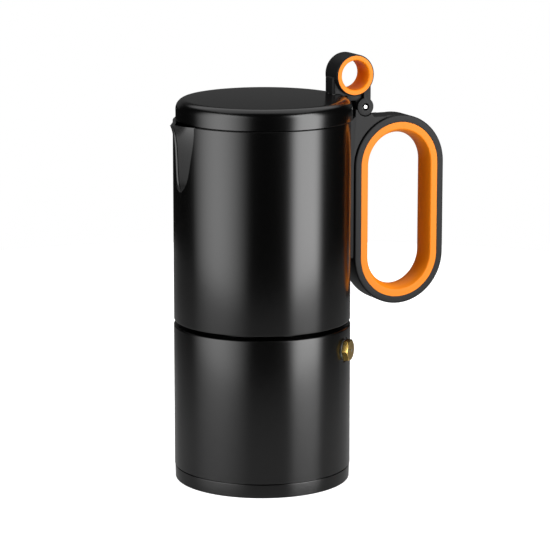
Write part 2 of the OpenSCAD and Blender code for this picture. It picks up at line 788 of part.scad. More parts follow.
// Side view of the lever's foot and of its bridge to the hinge
module lever_outline() {
    under_z = lid_top_z - 0.9;
    polygon([[foot_x, under_z], [foot_x, ring_z - 2.3], [foot_x + 1.5, ring_z - 0.8],
             [ring_x, ring_z - 0.8], [neck_edge_x, ring_z - ring_r / 2],
             [neck_edge_x, hinge_z + 1], [hinge_x - knuckle_r, hinge_z + 1],
             [hinge_x - knuckle_r - 0.6, under_z]]);
}

// The lever's foot: corners rounded on the side of the pot's axis, and a bevel along the top
module lever_foot() {
    side_y = foot_w / 2;
    top_z = ring_z - 0.8;
    long = hinge_x - foot_x;
    intersection() {
        slab_xz(foot_w) lever_outline();
        translate([foot_x, 0, lid_z]) linear_extrude(ring_z - lid_z) {
            translate([foot_round, -side_y]) square([long, foot_w]);
            translate([0, -side_y + foot_round]) square([long, foot_w - 2 * foot_round]);
            for (side = [-1, 1])
                translate([foot_round, side * (side_y - foot_round)]) circle(foot_round);
        }
        translate([foot_x - 1, 0, 0]) rotate([90, 0, 90]) linear_extrude(long + 2)
            polygon([[-side_y, lid_z], [side_y, lid_z], [side_y, top_z - foot_bevel],
                     [side_y - foot_bevel, top_z], [-side_y + foot_bevel, top_z],
                     [-side_y, top_z - foot_bevel]]);
    }
}

module lid_arm() {
    far = ring_depth / 2;
    color(black_plastic) difference() {
        union() {
            translate([ring_x, 0, ring_z]) rotate([90, 0, 0]) rotate_extrude()
                ring_section(ring_r, 1, ring_round);
            difference() {
                lever_foot();
                lid_solid(0.15);
            }
            for (side = [0, 1]) mirror([0, side, 0]) {
                hinge_cylinder(knuckle_r, outer_knuckle_y, far);
                translate([hinge_x - 1, outer_knuckle_y, hinge_z])
                    cube([neck_edge_x - hinge_x + 1, far - outer_knuckle_y, ring_z - ring_r / 2 - hinge_z]);
            }
        }
        // Room for the liner, the handle's knuckle and the pin
        translate([ring_x, far + 1, ring_z]) rotate([90, 0, 0])
            cylinder(d = ring_liner_d + 2 * fit_gap, h = ring_depth + 2);
        hinge_cylinder(knuckle_r + swing_gap, -outer_knuckle_y, outer_knuckle_y);
        translate([hinge_x - 2 * knuckle_r, -outer_knuckle_y, hinge_z - 8])
            cube([4 * knuckle_r, 2 * outer_knuckle_y, 11]);
        hinge_cylinder(pin_r + run_gap, -far - 1, far + 1);
        for (side = [0, 1]) mirror([0, side, 0])
            hinge_cylinder(pin_recess_d / 2, far - 0.5, far + 1);
        for (side = [-1, 1])
            translate([lid_screw_x, side * lid_screw_pitch / 2, lid_top_z - 1])
                cylinder(d = lid_screw_d, h = lid_screw_depth + 1.2);
    }
}

module knob_insert() {
    color(orange) translate([ring_x, 0, ring_z]) rotate([90, 0, 0]) rotate_extrude()
        difference() {
            translate([ring_hole_d / 2, -ring_depth / 2])
                square([(ring_liner_d - ring_hole_d) / 2, ring_depth]);
            for (side = [-1, 1]) difference() {
                translate([ring_hole_d / 2 - 1, side * ring_depth / 2 - 0.9])
                    square([1.9, 1.8]);
                translate([ring_hole_d / 2 + 0.9, side * (ring_depth / 2 - 0.9)]) circle(0.9);
            }
        }
}

module lid_screws() {
    color(steel) for (side = [-1, 1])
        translate([lid_screw_x, side * lid_screw_pitch / 2, 0]) {
            translate([0, 0, lid_under_z - lid_head_t]) cylinder(d = lid_head_d, h = lid_head_t);
            translate([0, 0, lid_under_z - eps])
                cylinder(d = lid_screw_d - 2 * fit_gap, h = lid_wall + lid_screw_depth);
        }
}

module hinge_pin() {
    color(steel) hinge_cylinder(pin_r, -ring_depth / 2 + 0.3, ring_depth / 2 - 0.3);
}

base_shell();
base_core();
boiler_body();
valve_body();
valve_washer();
valve_cap();
valve_plunger();
valve_spring();
funnel_body();
funnel_strainer();
gasket();
filter_plate();
collector_body();
coffee_column();
column_cap();
handle_frame();
handle_insert();
handle_screws();
hinge_pin();
lid_cap();
lid_arm();
knob_insert();
lid_screws();
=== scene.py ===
"""Moka pot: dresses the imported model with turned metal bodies, moulded handle parts and their
finishes, and sets it on a plain pale stage."""

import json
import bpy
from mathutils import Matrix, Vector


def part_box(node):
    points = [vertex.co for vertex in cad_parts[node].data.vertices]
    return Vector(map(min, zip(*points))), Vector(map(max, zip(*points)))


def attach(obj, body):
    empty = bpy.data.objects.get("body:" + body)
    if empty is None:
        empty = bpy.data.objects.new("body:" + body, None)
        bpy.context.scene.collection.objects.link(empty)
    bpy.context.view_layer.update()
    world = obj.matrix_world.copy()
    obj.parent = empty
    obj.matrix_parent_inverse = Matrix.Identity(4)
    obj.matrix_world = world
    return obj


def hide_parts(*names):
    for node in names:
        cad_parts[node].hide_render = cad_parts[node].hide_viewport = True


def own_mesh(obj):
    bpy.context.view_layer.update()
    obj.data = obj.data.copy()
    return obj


bl_info = {
    "name": "Moka Pot",
    "version": (1, 0, 0),
    "blender": (4, 5, 0),
    "location": "View3D > Sidebar > Moka Pot",
    "description": "Builds the visible pieces, finishes and stage of a stovetop moka pot",
    "category": "Object",
}

from math import acos, atan2, copysign, cos, exp, hypot, pi, radians, sin, sqrt, tan, tau

import bmesh
import bpy
from bpy.props import FloatProperty, FloatVectorProperty, PointerProperty
from mathutils import Matrix, Vector

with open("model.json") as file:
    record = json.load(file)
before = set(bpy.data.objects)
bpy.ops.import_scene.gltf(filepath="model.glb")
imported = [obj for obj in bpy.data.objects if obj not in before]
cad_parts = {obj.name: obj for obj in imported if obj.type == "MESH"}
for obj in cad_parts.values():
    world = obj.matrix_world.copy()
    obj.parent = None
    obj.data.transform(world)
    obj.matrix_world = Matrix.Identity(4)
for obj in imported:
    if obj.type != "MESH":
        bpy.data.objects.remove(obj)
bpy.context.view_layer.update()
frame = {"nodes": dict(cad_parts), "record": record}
NODES = frame["nodes"]

MM = 0.001
TURN_STEPS = 240                # slices of the large turned bodies
LOOP_STEPS = 96                 # slices of each half-turn of the handle
ARC_STEPS = 60                  # slices of the hinge's knuckles
THREAD_STEPS = 90               # slices of one turn of a thread
COIL_TURNS, COIL_STEPS = 4, 32  # turns of the valve's spring and slices of each
FIT = 0.03 * MM                 # radial gap of pieces pressed into each other
SEAT = 0.1 * MM                 # gap of flat seats
SWING = 0.35 * MM               # gap of pieces that swing past each other
LID_SEAM = 0.3 * MM             # gap between the chamber's rim and the lid
HAIR = 0.1 * MM                 # the smallest roundings and steps
SOFT = 0.2 * MM                 # rounding of edges that are only broken
ROUND = 0.3 * MM                # rounding of thin rims
RIM_EDGE = 0.35 * MM            # rounding of the base's and the chamber's rims
BOLD = 0.5 * MM                 # rounding of thick rims and of corners between walls
OVER = MM                       # how far a cutting solid reaches past what it cuts
SPIGOT = 1.5 * MM               # wall of the column's foot, which the chamber's floor holds
THREAD_START = 2.4 * MM         # from the shoulder up to the neck's thread
GROOVES = (0.402, 0.683)        # where the base's rings start, as shares of its radius
WHITE = (1, 1, 1, 1)
# Lamps round the set: name, side counted from the camera's own (positive to its right) and half
# width in degrees, distance, lower and upper end in m, soft edges as a share of the width
LAMPS = (("left_softbox", -57, 44, 1.2, -0.35, 1.25, 0.5),
         ("right_softbox", 59, 26, 1.2, -0.35, 1.25, 0.3),
         ("rear_screen", 180, 40, 1.6, 0.2, 0.8, 0.2))

ops = bmesh.ops
UPRIGHT = Matrix.Rotation(pi / 2, 4, "X")
OUTWARD = Matrix.Rotation(pi / 2, 4, "Y")


def level(node, end, axis=2):
    """A CAD node's lowest (end 0) or highest (end 1) coordinate along one axis."""
    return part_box(node)[end][axis]


def ends(node):
    """A CAD node's lowest and highest level."""
    return level(node, 0), level(node, 1)


def middle(node, axis):
    """The middle of a CAD node along one axis."""
    return (level(node, 0, axis) + level(node, 1, axis)) / 2


def half_size(node, axis):
    """Half a CAD node's size along one axis."""
    return (level(node, 1, axis) - level(node, 0, axis)) / 2


# What most pieces are measured from
RADIUS = level("boiler_body", 1, 0)
CHAMBER = RADIUS - HAIR         # the chamber is a hair slimmer than the boiler
RIM, LID_TOP = level("collector_body", 1), level("lid_cap", 1)
HINGE_X, HINGE_Z = middle("hinge_pin", 0), middle("hinge_pin", 2)
RING_X, RING_Z = middle("knob_insert", 0), middle("knob_insert", 2)
# The handle's loop: its middle, half the length of its straight sides and its outer radius
LOOP_X, LOOP_Z = middle("handle_insert", 0), middle("handle_insert", 2)
STRAIGHT = half_size("handle_insert", 2) - half_size("handle_insert", 0)
OUTER = level("handle_frame", 1, 0) - LOOP_X


def size(label, note, mm):
    """A length property, with its default in millimetres."""
    return FloatProperty(name=label, description=note, default=mm * MM, unit="LENGTH",
                         precision=4)


def degrees(label, note, value):
    """An angle property, with its default in degrees."""
    return FloatProperty(name=label, description=note, default=radians(value), subtype="ANGLE")


def share(label, note, value):
    """A plain number property."""
    return FloatProperty(name=label, description=note, default=value)


def linear(hex_code):
    """An sRGB hex colour as linear red, green and blue."""
    channels = [int(hex_code[i:i + 2], 16) / 255 for i in (1, 3, 5)]
    return [c / 12.92 if c <= 0.04045 else ((c + 0.055) / 1.055) ** 2.4 for c in channels]


def colour(label, note, hex_code):
    """A colour property, with its default as an sRGB hex code."""
    return FloatVectorProperty(name=label, description=note, default=linear(hex_code),
                               subtype="COLOR", size=3, min=0.0, max=1.0)


# ---------- sizes and colours ----------

class MokaBody(bpy.types.PropertyGroup):
    """Walls and edges of the turned metal pieces"""
    boiler_wall: size("Boiler wall", "Thickness of the boiler's wall", 2.8)
    chamber_wall: size("Chamber wall", "Thickness of the chamber's wall", 2.2)
    floor: size("Floors", "Thickness of the boiler's and the chamber's floors", 3.2)
    shoulder: size("Shoulder", "Thickness of the boiler's shoulder", 3.8)
    shoulder_edge: size("Shoulder edge", "Rounding of the boiler's shoulder", 0.8)
    corner: size("Inner corners", "Rounding where walls meet floors inside", 4.0)
    neck_radius: size("Neck radius", "Outside of the boiler's neck", 37.2)
    neck_height: size("Neck height", "From the shoulder to the neck's rim", 10.6)
    neck_wall: size("Neck wall", "Thickness of the neck", 5.7)
    skirt_room: size("Skirt room", "Room for the threads round the neck", 1.2)
    thread_height: size("Thread height", "How far the threads stand out", 0.85)
    thread_width: size("Thread width", "Width of a thread at its root", 1.5)
    thread_pitch: size("Thread pitch", "Rise of the threads in one turn", 3.5)
    base_sheet: size("Base sheet", "Thickness of the base's shell", 0.8)
    base_edge: size("Base edge", "Rounding at the base's foot", 0.6)
    base_inset: size("Base inset", "How much smaller in radius the base's foot is", 0.2)
    seam: size("Seam", "Height of the dark seam above the base", 0.35)
    seam_depth: size("Seam depth", "Depth of that seam", 0.8)
    groove_width: size("Groove width", "Width of the rings pressed under the base", 3.0)
    groove_depth: size("Groove depth", "Depth of the rings pressed under the base", 0.35)
    column_bore: size("Column bore", "Radius of the coffee column's bore", 4.5)
    cap_window: size("Cap window", "Width of the windows under the column's cap", 6.0)


class MokaInner(bpy.types.PropertyGroup):
    """The funnel, the seal and the column"""
    sheet: size("Sheet", "Thickness of the funnel's sheet", 0.8)
    stem: size("Stem", "Outside radius of the funnel's stem", 5.5)
    cone: size("Cone", "Height of the cone under the basket", 9.0)
    flange: size("Flange", "How far the flange stands out from the basket", 4.1)
    seal_width: size("Seal width", "Width of the seal's ring", 7.6)
    column_top: size("Column top", "Radius of the column under its cap", 6.5)
    cap_roof: size("Cap roof", "Thickness of the cap's roof", 2.0)


class MokaSpout(bpy.types.PropertyGroup):
    """The pressed spout"""
    reach: size("Reach", "How far the lip stands out from the chamber", 5.1)
    height: size("Height", "Height of the spout", 34.0)
    wall: size("Wall", "Wall of the spout", 2.0)
    ridge: size("Ridge", "Radius along the spout's ridge", 1.6)
    flank: size("Flank", "Half width of the flanks, to where they end inside the wall", 16.0)
    flare: degrees("Flare", "Slope of the flanks at the rim", 30.2)
    slope: degrees("Slope", "Slope of the flanks lower down", 20.6)


class MokaLid(bpy.types.PropertyGroup):
    """The lid"""
    edge: size("Edge", "Rounding round the lid's top", 5.2)
    wall: size("Wall", "Thickness of the lid's top", 1.8)
    lip_gap: size("Lip gap", "Gap between the lip and the chamber's wall", 0.5)
    lip_wall: size("Lip wall", "Thickness of the lip", 0.8)
    lip_drop: size("Lip drop", "How far the lip reaches into the chamber", 3.0)
    opening: size("Opening", "Half width of the lip's gap at the spout", 11.15)


class MokaHandle(bpy.types.PropertyGroup):
    """The loop handle, its liner and its bracket"""
    depth: size("Depth", "From face to face", 14.0)
    frame: size("Frame", "Thickness of the black frame round the loop", 3.6)
    frame_edge: size("Frame edge", "Rounding of the frame's outer edges", 0.8)
    liner: size("Liner", "Thickness of the liner at its edges", 3.6)
    crown: size("Crown", "How much thicker the liner is half-way", 2.2)
    liner_edge: size("Liner edge", "Rounding of the liner's edges", 0.8)
    groove_width: size("Groove width", "Width of the groove between bracket and loop", 0.9)
    groove_depth: size("Groove depth", "Depth of that groove", 1.2)
    bracket_lift: size("Bracket lift", "From the loop's lower end up to the bracket's", 26.0)
    edge: size("Edge", "Rounding of the bracket's edges", 0.35)
    screw_pitch: size("Screw pitch", "Distance between the two screws", 25.0)
    screw_bore: size("Screw bore", "Radius of the screws' holes", 1.85)
    boss_bore: size("Boss bore", "Radius of the recesses for the chamber's bosses", 4.7)
    boss: size("Boss", "Radius of the chamber's bosses", 4.5)
    boss_height: size("Boss height", "How far the bosses stand out", 2.9)
    head_bore: size("Head bore", "Radius of the recesses for the screws' heads", 3.8)
    knuckle: size("Knuckle", "Radius of the hinge's knuckles", 4.6)
    knuckle_width: size("Knuckle width", "Width of the handle's knuckle", 6.4)


class MokaLever(bpy.types.PropertyGroup):
    """The lid's lever and its ring"""
    foot_width: size("Foot width", "Width of the lever's foot", 9.6)
    foot_corner: size("Foot corner", "Rounding of the foot's upright corners", 1.5)
    foot_bevel: size("Foot bevel", "Rounding along the foot's top", 1.2)
    ring_edge: size("Ring edge", "Rounding of the ring's outer edges", 0.6)
    hole: size("Finger hole", "Radius of the finger hole", 7.5)
    liner_edge: size("Liner edge", "Rounding of the liner's inner edges", 0.9)
    edge: size("Edge", "Rounding of the lever's other edges", 0.3)
    pin_gap: size("Pin gap", "Running gap round the hinge pin", 0.07)
    pin_recess: size("Pin recess", "Radius of the recess round the pin's ends", 1.95)
    recess_depth: size("Recess depth", "Depth of that recess", 1.8)
    pin_tip: size("Pin tip", "Radius of the tips turned on the pin's ends", 0.95)
    pin_edge: size("Pin edge", "Rounding of those tips", 0.15)
    screw_pitch: size("Screw pitch", "Distance between the lid's screws", 5.2)
    screw_bore: size("Screw bore", "Radius of the lid's screw holes", 1.0)


class MokaValve(bpy.types.PropertyGroup):
    """The brass safety valve"""
    angle: degrees("Direction", "Turned from the handle", -47)
    hexagon: size("Hexagon", "Half its width across flats", 5.0)
    hexagon_edge: size("Hexagon edge", "Bevel of the hexagon's corners", 0.5)
    thickness: size("Thickness", "Thickness of the hexagon", 3.0)
    washer: size("Washer", "Thickness of the washer", 0.8)
    shank: size("Shank", "Radius of the shank", 4.0)
    spot: size("Spot face", "Radius of the flat milled for the washer", 6.5)
    boss: size("Boss", "Radius of the boss inside the boiler", 5.8)
    boss_length: size("Boss length", "How far the boss stands in from the wall", 2.6)
    bore: size("Bore", "Radius of the plunger's bore", 2.5)
    inlet: size("Inlet", "Radius of the steam's inlet", 1.2)
    wire: size("Spring wire", "Radius of the spring's wire", 0.2)
    coil: size("Spring coil", "Radius of the coil's middle line", 1.55)
    lift: size("Lift", "How far the plunger lifts", 1.2)


class MokaFinish(bpy.types.PropertyGroup):
    """Colours and roughness of the finishes"""
    paint: colour("Body paint", "Baked black paint", "#020202")
    paint_roughness: share("Body paint roughness", "Satin", 0.2)
    base_roughness: share("Base paint roughness", "A little duller", 0.22)
    aluminium: colour("Aluminium", "Tumbled aluminium", "#c4c6c8")
    steel: colour("Steel", "Stainless steel", "#d3d3d1")
    brass: colour("Brass", "Turned brass", "#dcb765")
    silicone: colour("Silicone", "Seal and washer", "#e4e1d8")
    plastic: colour("Black plastic", "Handle, bracket and lever", "#0c0c0d")
    plastic_roughness: share("Black plastic roughness", "Fine matt", 0.5)
    orange: colour("Orange plastic", "Liners of loop and ring", "#e47e0c")
    orange_roughness: share("Orange plastic roughness", "Silky", 0.42)


class MokaStage(bpy.types.PropertyGroup):
    """Camera, lamps and room"""
    camera_azimuth: degrees("Camera azimuth", "Round the pot, 0 looks along +Y", -25.6)
    camera_elevation: degrees("Camera elevation", "Above the horizon", 11.7405)
    camera_distance: size("Camera distance", "From the point looked at", 1406.8657)
    camera_aim_x: size("Aim aside", "How far right of the axis the camera aims", 6.5819)
    camera_aim_z: size("Aim height", "Height the camera aims at", 105.1186)
    camera_lens: share("Focal length", "In mm on a 36 mm sensor", 181.0158)
    left_softbox: share("Left softbox", "Radiance at its middle", 4.2)
    right_softbox: share("Right softbox", "Radiance at its middle", 7.5)
    rear_screen: share("Rear screen", "Radiance at its middle", 0.09)
    top_panel: share("Top panel", "Radiance at its middle", 1.1)
    room: share("Room", "Radiance of the room round the set", 0.01)


# ---------- finishes ----------

def add(tree, kind, inputs=None, **settings):
    """Adds a shader node: settings are its own properties, inputs hold values or sockets to
    link."""
    node = tree.nodes.new("ShaderNode" + kind)
    for key, value in settings.items():
        setattr(node, key, value)
    for key, value in (inputs or {}).items():
        if isinstance(value, bpy.types.NodeSocket):
            tree.links.new(value, node.inputs[key])
        else:
            node.inputs[key].default_value = value
    return node


def finish_of(name, tint, roughness, metallic=0.0, grain_mm=None, grain_depth=0.0, spread=0.0,
              **sockets):
    """A Principled finish with an optional fine grain in bump and in roughness."""
    material = bpy.data.materials.new(name)
    material.use_nodes = True
    tree = material.node_tree
    shader = tree.nodes["Principled BSDF"]
    shader.inputs["Base Color"].default_value = (*tint, 1.0)
    shader.inputs["Metallic"].default_value = metallic
    shader.inputs["Roughness"].default_value = roughness
    for key, value in sockets.items():
        shader.inputs[key.replace("_", " ")].default_value = value
    if grain_mm:
        place = add(tree, "TexCoord").outputs["Object"]
        grain = add(tree, "TexNoise", {
            "Vector": place, "Scale": 1 / (grain_mm * MM), "Detail": 3.0, "Roughness": 0.55})
        bump = add(tree, "Bump", {
            "Height": grain.outputs["Fac"], "Distance": grain_depth * MM, "Strength": 1.0})
        tree.links.new(bump.outputs["Normal"], shader.inputs["Normal"])
        if spread:
            rough = add(tree, "MapRange", {
                "Value": grain.outputs["Fac"], "From Min": 0.3, "From Max": 0.7,
                "To Min": roughness - spread, "To Max": roughness + spread})
            tree.links.new(rough.outputs["Result"], shader.inputs["Roughness"])
    return material


def make_finishes():
    """All the finishes, by the name of the record's slot that each one belongs to."""
    look = bpy.context.scene.moka_finish
    return {
        # Baked silicone paint on the aluminium body: satin, so lamps show as soft upright bands
        "body_paint": finish_of("satin_black_paint", look.paint, look.paint_roughness),
        # The same paint sprayed drier near the flame: a duller sheen
        "base_paint": finish_of("matt_black_paint", look.paint, look.base_roughness),
        # Rolled aluminium disc inside the base: plain grey metal
        "core_aluminium": finish_of("rolled_aluminium", look.aluminium, 0.4, 1.0),
        # Drawn aluminium, tumbled: a pale silky metal with no direction
        "bare_aluminium": finish_of("tumbled_aluminium", look.aluminium, 0.38, 1.0, grain_mm=0.6,
                                    grain_depth=0.006, spread=0.06),
        # Stainless steel sheet and pins: brighter and harder than the aluminium
        "steel": finish_of("stainless_steel", look.steel, 0.22, 1.0),
        # Turned free-cutting brass: warm and bright, with a trace of tool marks
        "brass": finish_of("turned_brass", look.brass, 0.2, 1.0, grain_mm=0.25,
                           grain_depth=0.004),
        # Moulded silicone rubber: milky white, dull
        "seal_rubber": finish_of("white_silicone", look.silicone, 0.55, Subsurface_Weight=0.15,
                                 Subsurface_Scale=0.002),
        # Glass-filled nylon moulding: charcoal black with a fine spark-eroded tooth
        "black_plastic": finish_of("black_nylon", look.plastic, look.plastic_roughness,
                                   grain_mm=0.35, grain_depth=0.008, spread=0.04,
                                   Specular_IOR_Level=0.2),
        # Soft orange elastomer moulding: saturated and silky
        "orange_plastic": finish_of("orange_elastomer", look.orange, look.orange_roughness,
                                    Specular_IOR_Level=0.15),
    }


FINISHES = {}


def finish(slot_name):
    """The finish for one slot, made the first time it's asked for."""
    if not FINISHES:
        FINISHES.update(make_finishes())
    return FINISHES[slot_name]


def dress(*nodes):
    """Gives CAD nodes that stay visible the finish of their own slot."""
    slots = {p["node"]: p["material_slot"] for p in frame["record"]["subparts"]}
    for node in nodes:
        piece = NODES[node]
        for place in piece.material_slots:
            place.material = finish(slots[node])


# ---------- shaping ----------

def shift(x, y, z):
    """A plain move."""
    return Matrix.Translation((x, y, z))


def verts_of(geom):
    """The vertices in what a bmesh operator returns."""
    return [v for v in geom if isinstance(v, bmesh.types.BMVert)]


def edges_of(geom):
    """The edges in what a bmesh operator returns."""
    return [e for e in geom if isinstance(e, bmesh.types.BMEdge)]


def arc(x, y, radius, first, last, steps):
    """Points along a circle, from one angle to another."""
    turns = [first + (last - first) * k / steps for k in range(steps + 1)]
    return [(x + radius * cos(a), y + radius * sin(a)) for a in turns]


def wire(bm, points, closed, corner_steps=6):
    """Draws edges through (x, y, z) points. A fourth value rounds its point to that radius."""
    verts = [bm.verts.new(p[:3]) for p in points]
    for a, b in zip(verts, verts[1:] + verts[:1] if closed else verts[1:]):
        bm.edges.new((a, b))
    for corner, radius in [(v, p[3]) for v, p in zip(verts, points) if any(p[3:])]:
        a, b = (e.other_vert(corner).co - corner.co for e in corner.link_edges)
        turn = pi - a.angle(b)
        ops.bevel(bm, geom=[corner], offset=radius * tan(turn / 2), offset_type="OFFSET",
                  segments=corner_steps, profile=0.5, affect="VERTICES", material=-1)


def soften(bm, edges, radius, steps=3):
    """Rounds edges of a solid."""
    ops.bevel(bm, geom=edges, offset=radius, offset_type="OFFSET", segments=steps, profile=0.5,
              affect="EDGES", material=-1)


def tidied(bm, place=None):
    """Merges doubles, turns the faces outward and moves the solid into its place."""
    ops.remove_doubles(bm, verts=bm.verts[:], dist=0.004 * MM)
    ops.recalc_face_normals(bm, faces=bm.faces[:])
    if place:
        ops.transform(bm, matrix=place, verts=bm.verts[:])
    return bm


def turned(outline, place=None, steps=TURN_STEPS, corner_steps=6):
    """A solid turned about Z from an outline of (radius, height) points, some with a corner
    radius. An outline with both ends on the axis stays open there, any other one is closed."""
    bm = bmesh.new()
    wire(bm, [(r, 0, z, *c) for r, z, *c in outline], outline[0][0] or outline[-1][0],
         corner_steps)
    ops.spin(bm, geom=bm.verts[:] + bm.edges[:], cent=(0, 0, 0), axis=(0, 0, 1), angle=tau,
             steps=steps, use_merge=True)
    return tidied(bm, place)


def rod(radius, low, high, place=None, edge=0.0, steps=96):
    """A round bar along Z, with softly rounded ends."""
    return turned([(0, low), (radius, low, edge), (radius, high, edge), (0, high)], place, steps,
                  corner_steps=4)


def block(low, high):
    """A box between two corners."""
    low, high = Vector(low), Vector(high)
    bm = bmesh.new()
    ops.create_cube(bm, size=1.0, matrix=Matrix.Translation((low + high) / 2)
                    @ Matrix.Diagonal((high - low).to_4d()))
    return bm


def raise_up(bm, height):
    """Draws flat faces up into a slab."""
    drawn = ops.extrude_face_region(bm, geom=bm.faces[:])["geom"]
    ops.translate(bm, verts=verts_of(drawn), vec=(0, 0, height))


def prism(outline, half, edge):
    """An upright slab across the handle's plane from an outline of (x, z) points, with its rims
    softly rounded."""
    bm = bmesh.new()
    wire(bm, [(x, z, -half) for x, z in outline], True)
    ops.contextual_create(bm, geom=bm.edges[:])
    raise_up(bm, 2 * half)
    soften(bm, [e for e in bm.edges if abs(e.verts[0].co.z - e.verts[1].co.z) < 0.001 * MM], edge)
    return tidied(bm, UPRIGHT)


def coiled(bm, rise, turns, steps):
    """Carries a closed section round and up the axis and closes both ends."""
    start = bm.edges[:]
    spun = ops.spin(bm, geom=bm.verts[:] + start, cent=(0, 0, 0), axis=(0, 0, 1),
                    dvec=(0, 0, rise / steps), angle=tau * turns, steps=steps)
    for ring in (start, edges_of(spun["geom_last"])):
        ops.contextual_create(bm, geom=ring)


def thread(root, crest, low, high, body):
    """A helical ridge with a trapezium for its section."""
    bm = bmesh.new()
    half, turns = body.thread_width / 2, (high - low) / body.thread_pitch
    wire(bm, [(root, 0, low - half), (crest, 0, low - half / 3), (crest, 0, low + half / 3),
              (root, 0, low + half)], True)
    coiled(bm, high - low, turns, round(turns * THREAD_STEPS))
    return tidied(bm)


def as_object(bm, name):
    """A loose object from a bmesh, which is used up."""
    mesh = bpy.data.meshes.new(name)
    bm.to_mesh(mesh)
    bm.free()
    thing = bpy.data.objects.new(name, mesh)
    bpy.context.scene.collection.objects.link(thing)
    return thing


def carve(bm, operation, *tools):
    """Changes a solid by other solids. Each result is cleaned before the next tool, which keeps
    the solid closed."""
    for tool in tools:
        work, helper = as_object(bm, "work"), as_object(tool, "tool")
        change = work.modifiers.new(operation, "BOOLEAN")
        change.operation = operation
        change.solver = "EXACT"
        change.object = helper
        bpy.context.view_layer.update()
        bm = bmesh.new()
        bm.from_object(work, bpy.context.evaluated_depsgraph_get())
        for thing in (work, helper):
            mesh = thing.data
            bpy.data.objects.remove(thing)
            bpy.data.meshes.remove(mesh)
        ops.remove_doubles(bm, verts=bm.verts[:], dist=0.0005 * MM)
    return bm


def join(bm, *tools):
    """A solid with others joined to it."""
    return carve(bm, "UNION", *tools)


def cut(bm, *tools):
    """A solid with others cut out of it."""
    return carve(bm, "DIFFERENCE", *tools)


def finished(bm, name, slot_name, body, *nodes, sharp=30.0, is_crease=None):
    """Makes the piece's object: smooth faces, sharp edges past an angle, its finish, its body."""
    for face in bm.faces:
        face.smooth = True
    for edge in bm.edges:
        angle = edge.calc_face_angle(0.0)
        edge.smooth = not (angle > radians(sharp) or (is_crease and is_crease(edge, angle)))
    piece = as_object(bm, name)
    piece.data.materials.append(finish(slot_name))
    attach(piece, body)
    if nodes:
        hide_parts(*nodes)
    return piece


# ---------- spout ----------

def spout_share(t):
    """How far the spout's ridge stands out at a share t of its height down from the rim: a lip
    that fades out, and a nearly straight ridge that drops off at its foot."""
    return 0.44 * exp(-t / 0.13) + (0.66 - 0.19 * t) * sqrt(max(0.0, 1 - t ** 10))


def spout_slope(spout, t):
    """The slope of the spout's flanks at that share."""
    return spout.slope + (spout.flare - spout.slope) * exp(-t / 0.15)


def spout_loft(spout, wall, lift):
    """The V of the spout as a solid: outlines from the rim down, bridged one to the next."""
    bm = bmesh.new()
    ridge = max(spout.ridge - wall / 2, 0.4 * MM)
    levels, ridge_steps, flank_steps = 40, 10, 6
    rings = []
    for i in range(levels + 1):
        t = (1 - cos(pi * i / levels)) / 2
        slope = spout_slope(spout, t)
        tip = CHAMBER + spout_share(t) * spout.reach - wall / cos(slope)
        half = arc(tip - ridge / cos(slope), 0, ridge, 0, pi / 2 - slope, ridge_steps)
        last, end = Vector(half[-1]), Vector((tip - spout.flank * tan(slope), spout.flank))
        half += [last.lerp(end, k / flank_steps) for k in range(1, flank_steps + 1)]
        z = RIM - spout.height * t + (lift if i == 0 else 0)
        points = [bm.verts.new((-x, y, z)) for x, y in reversed(half[1:])]
        points += [bm.verts.new((-x, -y, z)) for x, y in half]
        rings.append([bm.edges.new((a, b)) for a, b in zip(points, points[1:] + points[:1])])
    for upper, lower in zip(rings, rings[1:]):
        ops.bridge_loops(bm, edges=upper + lower)
    for ring in (rings[0], rings[-1]):
        ops.contextual_create(bm, geom=ring)
    ops.recalc_face_normals(bm, faces=bm.faces[:])
    return bm


def crease_test(inside, low, high):
    """A test for the edges where the spout's flanks leave the chamber's round walls."""
    def is_crease(edge, angle):
        a, b = edge.verts[0].co, edge.verts[1].co
        spot = (a + b) / 2
        radius = hypot(spot.x, spot.y)
        on_wall = min(abs(radius - CHAMBER), abs(radius - inside)) < SOFT
        upright = abs(a.z - b.z) > 0.02 * MM
        return angle > radians(2.6) and spot.x < 0 and low < spot.z < high and on_wall and upright
    return is_crease


# ---------- places of smaller parts ----------

def across(node):
    """The frame of a piece that turns about a line along Y through a CAD node's middle."""
    return shift(middle(node, 0), 0, middle(node, 2)) @ UPRIGHT


def valve_place(valve):
    """The frame of the valve: its own Z runs outward from the pot's axis."""
    return Matrix.Rotation(valve.angle, 4, "Z") @ shift(0, 0, middle("valve_body", 2)) @ OUTWARD


def milled_flat(valve):
    """Where the flat for the valve's washer lies, along that Z."""
    return sqrt(RADIUS ** 2 - valve.spot ** 2) - HAIR


def handle_screw_places(handle):
    """The frames of the two screws that hold the handle."""
    return [shift(0, 0, LOOP_Z + side * handle.screw_pitch / 2) @ OUTWARD for side in (-1, 1)]


def lid_screw_places(lever):
    """Where the lid's two screws stand."""
    x = level("lid_arm", 0, 0) + 1.6 * MM
    return [shift(x, side * lever.screw_pitch / 2, 0) for side in (-1, 1)]


# ---------- operators ----------

class MOKA_OT_base(bpy.types.Operator):
    """Turns the base's shell and dresses its core"""
    bl_idname = "moka.base"
    bl_label = "Sandwich base"

    def execute(self, context):
        body = context.scene.moka_body
        top, rim = level("base_shell", 1), level("base_shell", 1, 0)
        inner = level("base_core", 1, 0) + FIT
        outline = [(0, 0)]
        for part in GROOVES:
            start, depth = rim * part, body.groove_depth
            end = start + body.groove_width
            outline += [(start, 0, HAIR), (start, depth, HAIR), (end, depth, HAIR), (end, 0, HAIR)]
        outline += [(rim - body.base_inset, 0, body.base_edge), (rim, top, RIM_EDGE),
                    (inner, top), (inner, body.base_sheet), (0, body.base_sheet)]
        finished(turned(outline), "base_tray", "base_paint", "boiler", "base_shell")
        dress("base_core")
        return {"FINISHED"}


